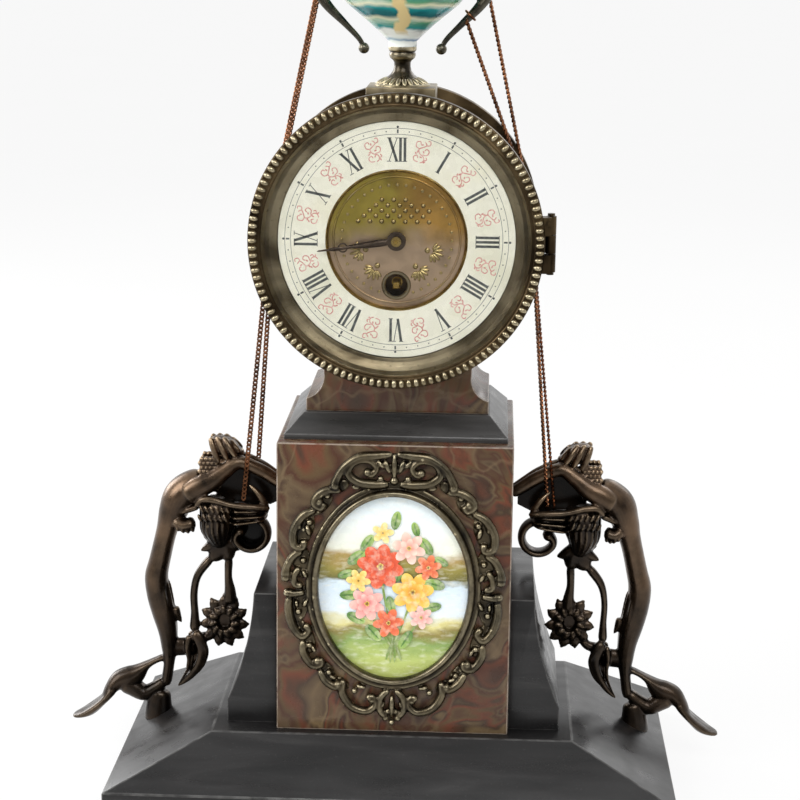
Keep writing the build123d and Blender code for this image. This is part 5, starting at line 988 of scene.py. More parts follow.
# Plaque and its frame. Points are (x, height) from the middle of the plaque.
FRAME_SCROLLS = [
    [(2, 49.5, 1.3), (9, 49.0, 1.6), (16.5, 50, 1.6), (21, 54, 1.5), (18.5, 59, 1.3), (12, 60.3, 1.2),
     (8.2, 57, 1.1), (10, 53.8, 1.2), (12.5, 54.4, 1.5)],
    [(0.6, 63.4, 1.1), (8, 62.6, 1.5), (16, 61.5, 1.6), (23, 56.5, 1.5), (26.5, 50.5, 1.5), (27, 48, 1.9)],
    [(24, 45.5, 1.2), (29.5, 46, 1.5), (34.5, 43.4, 1.5), (36.4, 39.4, 1.4), (33.4, 37.4, 1.3),
     (32.2, 40.2, 1.5)],
    [(35.5, 36.5, 1.2), (41.5, 33.5, 1.5), (45.8, 26.5, 1.5), (45.6, 19.5, 1.4), (41.5, 18.5, 1.2),
     (41.4, 22.4, 1.4)],
    [(41.8, 17, 1.2), (46.2, 14, 1.4), (49, 8.5, 1.4), (49.4, 3.8, 2.1)],
    [(43, 9, 1.1), (45.4, 5, 1.2), (45, 0.5, 1.2), (41.5, 0.5, 1.3)],
    [(40.5, -3, 1.1), (45.8, -3.8, 1.3), (48.6, -3.4, 1.9)],
    [(47.8, -4.6, 1.2), (48.2, -12, 1.5), (46, -20, 1.5), (42, -24.4, 1.4), (38.8, -21.4, 1.2),
     (41, -18.4, 1.4)],
    [(41.5, -26, 1.2), (41.2, -32.5, 1.5), (37.2, -38.2, 1.5), (33.2, -37.8, 1.3), (33.8, -34.4, 1.5)],
    [(33.8, -40.2, 1.2), (31, -45.6, 1.5), (26.2, -48.6, 1.6), (23.6, -46, 1.7)],
    [(22.5, -44.6, 1.2), (23.2, -51.5, 1.5), (18.8, -58.2, 1.5), (11.6, -60.2, 1.4), (7.4, -56.6, 1.2),
     (9.2, -53, 1.2), (11.6, -54.6, 1.6)],
    [(1.2, -49.2, 1.1), (5.2, -53.6, 1.3), (5.4, -59.6, 1.3), (2.2, -63.4, 1.2)],
]
FRAME_KNOBS = [
    (27, 48, 2.4), (34.4, 40.2, 2.2), (49.4, 3.8, 2.3), (48.6, -3.4, 2.1), (34.6, -36.2, 2.2),
    (25.2, -47.6, 2.3), (9.2, -54.6, 2.0), (12.2, 54.6, 2.1), (3.0, -63.2, 1.7), (1.7, -60, 1.5),
    (38.6, 30.5, 1.6), (43.6, -12.4, 1.5), (6.2, 51.8, 1.6), (30.4, 43.2, 1.5), (41.4, 12.2, 1.5),
    (38.4, -28.6, 1.5), (29.4, -41.6, 1.5), (17.4, -50.4, 1.6)]
FRAME_LEAVES = [
    (3.2, 57.4, 5.6, 1.5, 0.35), (6.2, 58.6, 4.4, 1.2, 0.75), (17.4, 47.6, 3.6, 1.2, 1.5),
    (39.2, 26.6, 4.2, 1.3, 0.3), (43.2, 28.6, 3.4, 1.1, -0.2), (40.6, 5.6, 3.6, 1.2, 0.5),
    (40.4, -8.2, 3.6, 1.2, -0.5), (44.4, -8.6, 3.2, 1.0, 0.1), (36.4, -30.4, 3.4, 1.1, 0.5),
    (27.6, -43.8, 3.4, 1.1, 1.2), (14.4, -48.2, 4.0, 1.2, 1.35), (4.4, -57, 3.4, 1.1, 2.6)]
FRAME_WEBS = [
    (42.4, 12, 4.2, 9.0, 0.1), (43.0, -9, 4.2, 9.0, -0.1), (40.6, 26, 3.8, 8.5, -0.35),
    (40.2, -25, 3.8, 8.5, 0.4), (33.6, 38.4, 3.6, 7.0, -0.8), (31.8, -40.4, 3.6, 7.0, 0.8),
    (24.6, 47.4, 3.0, 4.5, -1.0), (24, -47.4, 3.0, 4.5, 1.0)]
# Oval mouldings: (half width, half height, lift, half thickness, half depth)
FRAME_MOULDINGS = ((36.0, 45.2, 2.7, 1.75, 2.9), (39.0, 48.2, 1.3, 1.5, 1.3))
FRAME_MIDDLE, SCROLL_SPREAD, SCROLL_DEPTH = 2.0, 1.42, 0.9
PANEL_EDGE, PANEL_DOME = 1.2, 0.8


def build_plaque_frame():
    """Cast frame: a plain oval moulding in an openwork of scrolls, knobs and leaves."""
    shape = bmesh.new()
    turns = 96
    for half_w, half_h, lift, width, depth in FRAME_MOULDINGS:
        path = []
        for index in range(turns + 1):
            angle = 2 * math.pi * index / turns
            x, z = half_w * math.cos(angle), half_h * math.sin(angle)
            path.append((x, PIER_FACE - lift, PLAQUE_Z + z, width, depth))
        limb(shape, path, 16, 1, ends=0)
    for side in (-1, 1):
        for scroll in FRAME_SCROLLS:
            path = []
            for x, z, radius in scroll:
                spot = (side * x, PIER_FACE - FRAME_MIDDLE, PLAQUE_Z + z)
                path.append((*spot, radius * SCROLL_SPREAD, radius + SCROLL_DEPTH))
            limb(shape, path, 12, 5)
        for x, z, width, length, turn in FRAME_WEBS:
            ball(shape, (side * x, PIER_FACE - 0.6, PLAQUE_Z + z), (width, 1.3, length), side * turn)
        for x, z, radius in FRAME_KNOBS:
            ball(shape, (side * x, PIER_FACE - FRAME_MIDDLE, PLAQUE_Z + z), (radius, radius + 0.5, radius))
        for x, z, length, width, turn in FRAME_LEAVES:
            at = (side * x, PIER_FACE - FRAME_MIDDLE + 0.2, PLAQUE_Z + z)
            ball(shape, at, (width, 2.2, length / 1.6), side * turn)
    for z, length in ((57.5, 6.5), (-57.5, 5.5)):
        ball(shape, (0, PIER_FACE - FRAME_MIDDLE, PLAQUE_Z + z), (1.6, 2.6, length))
    ball(shape, (0, PIER_FACE - FRAME_MIDDLE, PLAQUE_Z - 65.4), (1.5, 1.9, 1.5))
    ball(shape, (0, PIER_FACE - FRAME_MIDDLE, PLAQUE_Z + 51.0), (2.2, 2.6, 2.0))
    casting = cast_in_one(shape, 0.42, 1)
    finish_piece("plaque_frame_cast", casting, "case", FRAME_BRASS, 60, ("plaque_frame",))


def build_plaque():
    """Slightly domed oval panel and the flowers painted on it."""
    panel = bmesh.new()
    made = bmesh.ops.create_circle(panel, cap_ends=True, segments=96, radius=1.0)
    face = made["verts"][0].link_faces[0]
    for _ in range(3):
        bmesh.ops.inset_region(panel, faces=[face], thickness=0.25, use_even_offset=True)
    for vert in panel.verts:
        spread = math.hypot(vert.co.x, vert.co.y)
        dome = PANEL_EDGE + PANEL_DOME * (1 - spread ** 2)
        x, z = vert.co.x * PLAQUE_HALF_W, vert.co.y * PLAQUE_HALF_H
        vert.co = Vector((x, PIER_FACE - dome, PLAQUE_Z + z))
    rim = [edge for edge in panel.edges if edge.is_boundary]
    walls = bmesh.ops.extrude_edge_only(panel, edges=rim)
    lower = [item for item in walls["geom"] if isinstance(item, bmesh.types.BMVert)]
    bmesh.ops.translate(panel, vec=(0, PANEL_EDGE, 0), verts=lower)
    rim = [item for item in walls["geom"] if isinstance(item, bmesh.types.BMEdge)]
    bmesh.ops.contextual_create(panel, geom=rim)
    finish_piece("plaque_panel", panel, "case", PAINTED_GROUND, 60, ("painted_plaque",))
    build_bouquet()


# Flowers: (x, height, size, turn, petals, inner shade, outer shade)
BLOOMS = [
    (-6, 10, 10.5, 0.2, 8, "b5331f", "e8633c"), (9, -2, 9.5, 0.5, 7, "d98a1e", "f2cd5c"),
    (-12, -8, 8.0, 0.1, 7, "d56b6b", "f3bdb2"), (7, 19, 7.5, 0.8, 6, "e08a78", "f6d3c4"),
    (-2, -17, 7.0, 0.4, 6, "c23d2a", "ee7d4e"), (16, 10, 6.0, 0.3, 6, "c9452e", "ef8a58"),
    (-16, 3, 5.5, 0.6, 6, "e0a33a", "f5dc84"), (-5, 26, 5.0, 0.2, 5, "e6b13e", "f6e2a0"),
    (13, -14, 5.5, 0.9, 6, "d9817b", "f4cfc4")]
LEAVES = [
    (-17, 14, 8.5, 0.9), (-20, -4, 8.0, 1.5), (19, 2, 8.5, -1.3), (15, 20, 8.0, -0.6), (1, 32, 7.5, 0.2),
    (-12, 21, 8.0, 0.6), (18, -9, 7.5, -1.8), (-9, -22, 8.5, 2.4), (6, -25, 8.5, -2.6), (-17, -15, 8.0, 2.0),
    (2, 7, 7.0, 0.1), (-1, -8, 7.0, 2.9), (22, 13, 6.0, -1.0), (-22, 6, 6.5, 1.2), (10, 28, 6.0, -0.3)]
STEMS = [
    [(-6, 8), (-3, -10), (0, -24), (-1, -36)], [(9, -4), (5, -16), (1, -26), (1, -36)],
    [(-12, -10), (-6, -20), (-1, -28), (-3, -35)], [(13, -14), (8, -22), (2, -29), (4, -35)]]


def daub(shape, layer, at, size, turn, inner, outer, lift):
    """One brush stroke, shaded from its root to its tip."""
    flat = Matrix.Translation((at[0], 0, at[1])) @ Matrix.Rotation(turn, 4, "Y")
    flat = flat @ Matrix.Diagonal((size[0], 1, size[1], 1)) @ Matrix.Rotation(math.pi / 2, 4, "X")
    made = bmesh.ops.create_circle(shape, cap_ends=True, cap_tris=True, segments=14, radius=1.0)
    for vert in made["verts"]:
        share = min(1.0, max(0.0, vert.co.y * 0.5 + 0.5))
        vert[layer] = [a + (b - a) * share for a, b in zip(tone(inner), tone(outer))]
        spot = flat @ vert.co
        spread = (spot.x / PLAQUE_HALF_W) ** 2 + (spot.z / PLAQUE_HALF_H) ** 2
        dome = PANEL_EDGE + PANEL_DOME * (1 - spread)
        vert.co = Vector((spot.x, PIER_FACE - dome - lift, PLAQUE_Z + spot.z))


def build_bouquet():
    """A loose bunch of flowers with leaves and stems, in thin layers of colour."""
    shape = bmesh.new()
    layer = shape.verts.layers.float_color.new("paint")
    for stem in STEMS:
        for start, end in zip(stem, stem[1:]):
            middle = ((start[0] + end[0]) / 2, (start[1] + end[1]) / 2)
            length = math.dist(start, end) / 1.8
            turn = math.atan2(end[0] - start[0], end[1] - start[1])
            daub(shape, layer, middle, (0.55, length), turn, "5c7a35", "86a04e", 0.04)
    for index, (x, z, length, turn) in enumerate(LEAVES):
        lift = 0.05 + index * 0.002
        daub(shape, layer, (x, z), (length * 0.3, length / 1.7), turn, "4f7a3a", "9dba62", lift)
        daub(shape, layer, (x, z), (length * 0.05, length / 2), turn, "39602a", "5f8a3f", 0.085)
    for index, (x, z, size, turn, petals, inner, outer) in enumerate(BLOOMS):
        lift = 0.1 + 0.02 * index
        for ring, reach in ((0, 0.62), (1, 0.34)):
            for petal in range(petals):
                angle = turn + ring * 0.4 + 2 * math.pi * petal / petals
                at = (x + math.sin(angle) * size * reach, z + math.cos(angle) * size * reach)
                span = (size * 0.3 * (1 - 0.35 * ring), size * 0.42 * (1 - 0.35 * ring))
                above = lift + 0.004 * petal / petals + 0.008 * ring
                daub(shape, layer, at, span, angle, inner, outer, above)
        for seed in range(5):
            angle = seed * 2.4
            at = (x + math.sin(angle) * size * 0.09, z + math.cos(angle) * size * 0.09)
            daub(shape, layer, at, (size * 0.07, size * 0.07), angle, "8a5a1c", "f0cf62", lift + 0.016)
    finish_piece("plaque_flowers", shape, "case", PAINTED_FLOWERS, 60, (), False)


build_plaque()
build_plaque_frame()

# Cast figures. Points are (out from the pier's side, height above the base, across, half width, half depth).
BODY = [
    (41, 103.5, 0, 6.2, 7.0), (47, 100.6, 0, 7.8, 8.8), (53, 95.4, 0, 8.2, 9.2), (56.8, 87, 0, 7.0, 8.0),
    (59.8, 78, 0, 5.2, 6.6), (63.4, 63, 0, 5.2, 6.4), (65.2, 54.3, 0, 5.7, 6.8), (64.4, 45, 0, 5.7, 6.6),
    (62.1, 36, 0, 5.7, 6.2), (60, 26, 0, 4.7, 5.2), (59.3, 18, 0, 4.0, 4.4), (59.6, 9, 0, 2.7, 3.6),
    (61.4, -3, 0, 2.9, 3.6)]
ARM = [
    (50, 97, 6.0, 5.6, 5.0), (43, 101.5, 6.6, 5.4, 4.6), (36.5, 105, 6.2, 4.8, 4.2),
    (30.4, 109.8, 5.2, 4.0, 3.8), (23.5, 113.8, 4.2, 3.4, 3.4), (14, 110.2, 3.2, 3.3, 3.2),
    (7, 105.7, 2.4, 3.2, 3.0), (-0.5, 100.5, 2, 2.8, 2.8)]
HEAD = [
    (38, 121.5, 0, 3.6, 4.6), (34, 121.3, 0, 4.8, 5.6), (29, 119.8, 0, 4.6, 5.6), (25, 118, 0, 3.0, 4.4),
    (21.5, 118, 0, 1.4, 2.6)]
HAIR_CREST = [
    [(37.6, 126, 3.4, 1.3, 1.5), (36.4, 122, 4.8, 1.6, 1.6), (34.6, 117, 5.6, 1.5, 1.5),
     (33, 113.6, 5.8, 0.8, 1.0)],
    [(34.6, 126.3, 3.2, 1.3, 1.5), (32.6, 122.4, 5.0, 1.6, 1.6), (30.4, 118, 5.8, 1.5, 1.5),
     (29, 115, 5.8, 0.8, 1.0)],
    [(31.4, 126, 2.8, 1.3, 1.5), (28.8, 122.4, 4.8, 1.6, 1.6), (26.4, 118.6, 5.4, 1.4, 1.5),
     (24.8, 116.4, 5.2, 0.8, 1.0)],
    [(28.4, 124.6, 2.2, 1.2, 1.4), (25.6, 121.4, 3.8, 1.4, 1.5), (23, 118.6, 4.2, 1.0, 1.2)]]
CURL_AT, CURL_GAP, CURL_ROWS, CURL_R = (33.6, 107.6), 2.0, 5, 1.3
SHELL = [
    (35, 94.6, 0, 8.0, 10.4), (35, 91, 0, 8.4, 10.9), (35, 86, 0, 8.4, 10.8), (35, 80, 0, 8.2, 10.0),
    (34.2, 75, 0, 5.8, 7.8), (33.4, 70.5, 0, 3.2, 4.6)]
SHELL_RIM = [
    (44.5, 92.4, 8.6, 1.3, 1.8), (41, 96.2, 9.6, 1.7, 2.0), (35, 96.3, 10.4, 1.7, 2.0),
    (26, 94.2, 10.8, 1.5, 2.0), (16, 93.4, 10.6, 1.6, 2.0), (8, 92.6, 9.2, 1.5, 1.8)]
FEATHER_ROWS = ((91.6, 6, 28.6), (87.2, 6, 29.6))
REEDS = [
    [(28, 90.4, 0, 1.7, 10.6), (20, 90.6, 0, 1.6, 10.8), (10, 90.8, 0, 1.4, 10.4)],
    [(28, 87.0, 0, 1.7, 10.8), (20, 87.6, 0, 1.6, 11.0), (9.6, 88.4, 0, 1.4, 10.6)],
    [(28, 83.8, 0, 1.6, 10.4), (20, 84.8, 0, 1.5, 10.6), (10, 86.4, 0, 1.3, 10.0)]]
BLADE = [
    (9.6, 90, -8, 1.3, 2.0), (11.4, 95.5, -8, 1.9, 2.4), (14.8, 100.4, -7.5, 1.4, 2.0),
    (18.8, 103.8, -7, 0.4, 0.7)]
FIST = [(55.5, 84.4, -4, 3.6, 4.0), (50.5, 82.4, -5.5, 3.0, 4.4), (45, 84, -5.5, 3.2, 4.0)]
WRIST = [(54.5, 88.4, -4, 2.2, 3.0), (48.5, 90, -5.5, 1.7, 2.6), (43, 92, -6, 1.6, 2.4)]
FINGERS = [(53.6, 81.4), (51.2, 80.6), (48.8, 80.4), (46.4, 81.2)]
STEM_OUTER = [
    (37.5, 65, 0, 2.4, 2.9), (44.6, 55.5, 0, 2.0, 2.4), (46.8, 46, 0, 1.9, 2.3), (46.5, 35.5, 0, 2.0, 2.4),
    (46.6, 26, 0, 3.0, 3.2)]
STEM_INNER = [
    (29.4, 65, 0, 2.3, 2.8), (29.8, 55, 0, 1.9, 2.4), (29, 47.5, 0, 2.8, 3.0), (29, 41, 0, 3.6, 3.4)]
LEAF_SPIKES = [
    [(33, 73.5, 0, 4.4, 4.0), (38.5, 70.2, 0, 2.8, 3.0), (43.6, 67.6, 0, 0.5, 0.8)],
    [(33, 73.5, 0, 4.4, 4.0), (27, 70.6, 0, 3.0, 3.0), (22.4, 69.2, 0, 0.5, 0.8)],
    [(33, 74, 0, 5.2, 4.2), (34.5, 68, 0, 5.0, 3.6), (38.5, 63.2, 0, 2.4, 2.6)],
    [(33, 74, 0, 5.2, 4.2), (30.5, 68, 0, 4.6, 3.6), (29.4, 63, 0, 2.3, 2.6)],
    [(36, 72.5, 0, 2.8, 3.6), (39.6, 74.2, 0, 1.4, 2.2), (42, 75, 0, 0.4, 0.7)]]
CLAW_RIBS = [
    [(46.5, 27, -1.8, 3.2, 2.2), (42.6, 18.5, -2.4, 2.8, 2.4), (44.2, 10, -2.0, 2.2, 2.2),
     (49, 3, -1.0, 1.8, 1.8), (55.6, -3, 0, 0.5, 0.8)],
    [(48, 26, 1.8, 3.0, 2.2), (46.6, 18.5, 2.4, 3.0, 2.4), (47, 10, 2.0, 2.6, 2.2),
     (50.5, 3.4, 1.0, 1.9, 1.8), (55.6, -3, 0, 0.5, 0.8)],
    [(49, 25, -2.2, 1.8, 1.8), (49.8, 18.5, -2.8, 1.6, 1.8), (49.2, 12, -2.2, 1.2, 1.4),
     (50.6, 6, -1.2, 0.8, 1.0)],
    [(44, 24, -2.4, 1.6, 1.8), (40.8, 17.5, -2.8, 1.5, 1.8), (42.4, 10, -2.4, 1.2, 1.6),
     (46.5, 4, -1.4, 0.8, 1.2)],
    [(45, 23, 0, 2.6, 2.6), (39.5, 24, 0, 2.4, 2.4), (36, 27, 0, 2.0, 2.0)]]
WEB = [(58, 17.6, 0, 4.6, 3.0), (53, 18, 0, 4.6, 2.8), (46, 18.6, 0, 4.6, 3.0)]
FIN = [(57, 38.5, 0, 2.8, 2.8), (55.2, 34.4, 0, 2.0, 2.0), (53, 30.4, 0, 0.5, 0.7)]
TAIL = [
    (61.5, 12.5, 0, 1.8, 3.0), (66, 10.6, 0, 1.5, 3.2), (71, 7.6, 0, 2.2, 4.0), (77, 2.5, 0, 5.2, 5.0),
    (84, 0, 0, 4.8, 5.4), (88.6, -4.6, 0, 3.3, 5.8), (92.2, -10.2, 0, 2.2, 6.2), (98.2, -15.8, 0, 2.4, 6.4),
    (104, -18.4, 0, 1.8, 5.4), (108.2, -19.6, 0, 0.8, 2.8)]
TAIL_LOBE = [
    (86, -2.6, 3.4, 2.6, 2.8), (92, -10, 4.2, 1.8, 3.0), (100, -16.4, 4.0, 1.8, 3.0),
    (107, -19.4, 2.6, 0.6, 1.4)]
TAIL_CURL = [
    (61.5, 1, 0, 2.4, 3.4), (66, -3.6, 0, 3.4, 4.0), (72, -6.6, 0, 4.0, 4.6), (78, -3.5, 0, 4.8, 5.0),
    (83, -1.5, 0, 4.4, 5.0)]
FOOT = [(63.5, -4, 0, 4.6, 4.4), (64.6, -10, 0, 6.0, 5.4), (65, -15, 0, 6.8, 6.2), (65, -21, 0, 7.4, 7.4)]
TAIL_FLUTES = [(-3.6, -2.6), (-1.2, -4.2), (1.6, -4.4), (4.2, -2.6)]
VOLUTE_AT = {-1: (18.4, 77.5), 1: (13.4, 79.0)}
VOLUTE_R = 8.0
ROSETTE_AT = {-1: (31.8, 32.0), 1: (29.8, 35.8)}
PETALS, PETAL_RING_R, FLOWER_STRETCH = 11, 8.6, 1.14
RIGHT_LEAN, RIGHT_TAIL_LEAN = 1.7, 0.05
LEAN_OUT, LEAN_OUT_SPAN, LEAN_TOP, LEAN_TOP_SPAN, TAIL_OUT = 46, 8, 112, 20, 66
# WEB_T, WEB_BACK and DISC_BACK place the near-black sheet and disc of painted shade behind the arms and the
# left volute
WEB_T, WEB_BACK, DISC_BACK = 3.0, 2.0, 3.0
HOLLOW = [
    (35, 97), (33, 101), (29, 106), (24, 111), (13, 108), (5, 102), (3, 99), (3, 95), (9, 92), (28, 93)]


def in_figure(point):
    """Figure point moved beside the pier on the right."""
    out, up, across, width, depth = point
    return (FIGURE_X + out, FIGURE_Y + across, FIGURE_Z + up, width, depth)


def figure_ball(shape, out, up, across, radii, turn=0.0, tilt=0.0):
    """Knob at a figure point."""
    ball(shape, (FIGURE_X + out, FIGURE_Y + across, FIGURE_Z + up), radii, turn, tilt)


def both_faces(path):
    """Path on the figure's front and its mirror image on the back."""
    front = [(out, up, -across, width, depth) for out, up, across, width, depth in path]
    return [front, path]


def figure_limbs(shape):
    """Body, arms, head, hair, tail and foot."""
    for path in [BODY, HEAD, WEB, FIN, TAIL, TAIL_CURL, FOOT, FIST, WRIST, BLADE, STEM_OUTER, STEM_INNER]:
        limb(shape, [in_figure(point) for point in path], 30)
    paired = [ARM, SHELL_RIM, TAIL_LOBE] + HAIR_CREST
    for path in LEAF_SPIKES + CLAW_RIBS + REEDS + [path for pair in paired for path in both_faces(pair)]:
        limb(shape, [in_figure(point) for point in path], 22)
    for row in range(CURL_ROWS):
        for column in range(CURL_ROWS):
            out = CURL_AT[0] + CURL_GAP * (column + row % 2 / 2)
            up = CURL_AT[1] + CURL_GAP * row
            for across in (-6.6 + 0.3 * row, 6.6 - 0.3 * row):
                figure_ball(shape, out, up, across, (CURL_R, 1.6, CURL_R * 0.8), row * 0.9 + column * 1.3)
    for out, up in FINGERS:
        figure_ball(shape, out, up, -6.6, (1.1, 2.6, 2.4), 0.3)
    for front, out in TAIL_FLUTES:
        path = [(60 + out * 0.55, 12, front * 0.7, 0.9, 0.9), (60.8 + out, 26, front, 1.2, 1.1)]
        path.append((63.4 + out * 1.25, 40, front * 1.25, 1.2, 1.1))
        path.append((65 + out * 1.3, 52, front * 1.3, 0.5, 0.5))
        limb(shape, [in_figure(point) for point in path], 12)


def figure_ornaments(shape, side):
    """Shell cup with its feathers, volute and rosette."""
    limb(shape, [in_figure(point) for point in SHELL], 72, 8, 18, 0.05)
    for up, count, start in FEATHER_ROWS:
        for index in range(count):
            for across in (-10.4, 10.4):
                figure_ball(shape, start + 2.5 * index, up, across, (0.9, 1.5, 2.4), 0.5)
    middle, height = VOLUTE_AT[side]
    path = []
    for index in range(26):
        share = index / 25
        angle = math.radians(95 + 300 * share)
        radius = VOLUTE_R if share < 0.82 else VOLUTE_R - (share - 0.82) * 22
        path.append((middle + radius * math.cos(angle), height + radius * math.sin(angle), 0, 2.0, 5.4))
    limb(shape, [in_figure(point) for point in path], 18, 2)
    figure_ball(shape, middle + 5.0, height + 1.2, 0, (3.0, 6.0, 3.0))
    out, up = ROSETTE_AT[side]
    ring = []
    for index in range(25):
        angle = 2 * math.pi * index / 24
        ring.append((out + 5.6 * math.cos(angle), up + 6.2 * math.sin(angle), 0, 2.4, 2.6))
    limb(shape, [in_figure(point) for point in ring], 14, 1, ends=0)
    figure_ball(shape, out, up, 1.6, (4.6, 0.8, 4.6))
    for index in range(PETALS):
        angle = 2 * math.pi * index / PETALS
        x, z = math.sin(angle), math.cos(angle) * FLOWER_STRETCH
        figure_ball(shape, out + PETAL_RING_R * x, up + PETAL_RING_R * z, -0.6, (2.7, 1.6, 3.2), angle)
        figure_ball(shape, out + 10.6 * x, up + 10.6 * z, 0.2, (1.1, 1.2, 2.0), angle + 0.3)
        for across in (-2.4, 2.4):
            figure_ball(shape, out + 5.4 * x, up + 5.4 * z, across, (1.4, 1.2, 2.4), angle + 0.28)


def lean_in(shape):
    """Moves the right figure's body and tail a little nearer to the pier."""
    for vert in shape.verts:
        out = vert.co.x - FIGURE_X
        share = min(1.0, max(0.0, (out - LEAN_OUT) / LEAN_OUT_SPAN))
        share *= min(1.0, max(0.0, (LEAN_TOP - vert.co.z + FIGURE_Z) / LEAN_TOP_SPAN))
        vert.co.x -= share * (RIGHT_LEAN + RIGHT_TAIL_LEAN * max(0.0, out - TAIL_OUT))


def build_figures():
    """Both bracket figures, each cast in one, and the near-black webs behind the chains that stand in as
    painted shade of the hollows.
    """
    for side, name in ((1, "right_figure"), (-1, "left_figure")):
        shape = bmesh.new()
        figure_limbs(shape)
        figure_ornaments(shape, side)
        if side > 0:
            lean_in(shape)
        else:
            bmesh.ops.scale(shape, vec=(-1, 1, 1), verts=shape.verts)
        casting = cast_in_one(shape, 0.5, 2)
        finish_piece(name + "_cast", casting, "case", BRONZE, 70, (name,))
        # Near-black sheet in the hollow under the arm, and a disc behind the left volute: painted shade
        corners = [(side * (FIGURE_X + out), FIGURE_Z + up) for out, up in HOLLOW]
        shade_web = profile_block(corners if side > 0 else list(reversed(corners)), WEB_T)
        bmesh.ops.translate(shade_web, vec=(0, FIGURE_Y + WEB_BACK, 0), verts=shade_web.verts)
        if side < 0:
            out, up = VOLUTE_AT[side]
            place = Matrix.Translation((-FIGURE_X - out, FIGURE_Y + DISC_BACK, FIGURE_Z + up))
            place = place @ Matrix.Diagonal((VOLUTE_R, 1.0, VOLUTE_R, 1.0))
            bmesh.ops.create_uvsphere(shade_web, u_segments=32, v_segments=12, radius=1.0, matrix=place)
        finish_piece(name + "_web", shade_web, "case", PAINTED_SHADE_BRONZE, 40, (name,))


build_figures()


# Urn. Profiles are (radius, height); those of the body and the handles count from its seat.
URN_PROFILE = [
    (0.01, 0.0), (6.4, 0.0), (6.4, 2.4), (9.6, 5.6), (14.8, 10.4), (20.2, 14.8), (25.1, 18.9), (30.4, 25.4),
    (34.6, 33.0), (37.2, 40.0), (38.0, 46.0), (37.6, 51.5), (35.6, 57.0), (32.4, 61.5), (29.6, 64.0),
    (25.0, 67.6), (20.0, 71.6), (15.0, 76.0), (12.0, 76.0), (16.6, 72.0), (26.6, 61.6), (35.0, 46.0),
    (22.8, 22.0), (0.01, 9.2)]
FOOT_PROFILE = [
    (0.01, URN_BASE), (12.6, URN_BASE), (12.6, 332.5), (10.8, 333.2), (7.8, 334.9), (5.4, 336.8),
    (4.1, 338.6), (3.7, 340.4), (3.75, 342.2), (4.3, 343.2), (5.6, 344.2), (6.0, 345.4), (5.9, 346.4),
    (5.6, 346.9), (6.0, 347.3), (6.35, 348.0), (6.3, URN_SEAT), (0.01, URN_SEAT)]
NECK_TOP = 430.3
NECK_PROFILE = [
    (12.0, URN_TOP), (15.0, URN_TOP), (18.5, 426.8), (18.5, 428.8), (15.0, NECK_TOP), (12.0, NECK_TOP)]
URN_COVER_PROFILE = [
    (0.01, URN_TOP), (11.7, URN_TOP), (11.7, NECK_TOP), (13.5, NECK_TOP), (13.5, 431.8), (12.6, 434.6),
    (9.8, 437.8), (6.2, 439.9), (2.2, 441.2), (3.4, 443.4), (4.4, 446.4), (3.6, 449.4), (1.9, 452.1),
    (2.4, 453.2), (0.01, 456.2)]
PLATE_W, PLATE_H = 31.0, 9.0
HANDLE = [
    (18.7, 78.8, 2.4), (27, 85, 2.5), (38, 84, 2.6), (46, 74, 2.7), (48.5, 60, 2.8), (46.5, 44, 2.9),
    (41, 29, 2.9), (34.5, 18.5, 2.3), (26, 9.8, 1.5), (19.6, 3.2, 1.2), (17.4, -1.0, 1.1)]
HANDLE_LEAVES = [
    (36.6, 22.6, 5.2, 0.56), (40.4, 29.4, 5.4, 0.42), (43.6, 37.0, 5.2, 0.3), (47.6, 52.0, 5.6, 0.05)]
FOOT_LEAVES, FOOT_LEAF_R, FOOT_LEAF_Z = 22, 9.3, 333.9
NECK_BEADS, NECK_BEAD_RING_R, NECK_BEAD_Z, NECK_BEAD_R = 36, 18.0, 427.8, 0.9


def about_urn(radius, angle, z):
    """Place at a radius and an angle about the urn's axis."""
    return (radius * math.cos(angle), URN_Y + radius * math.sin(angle), z)


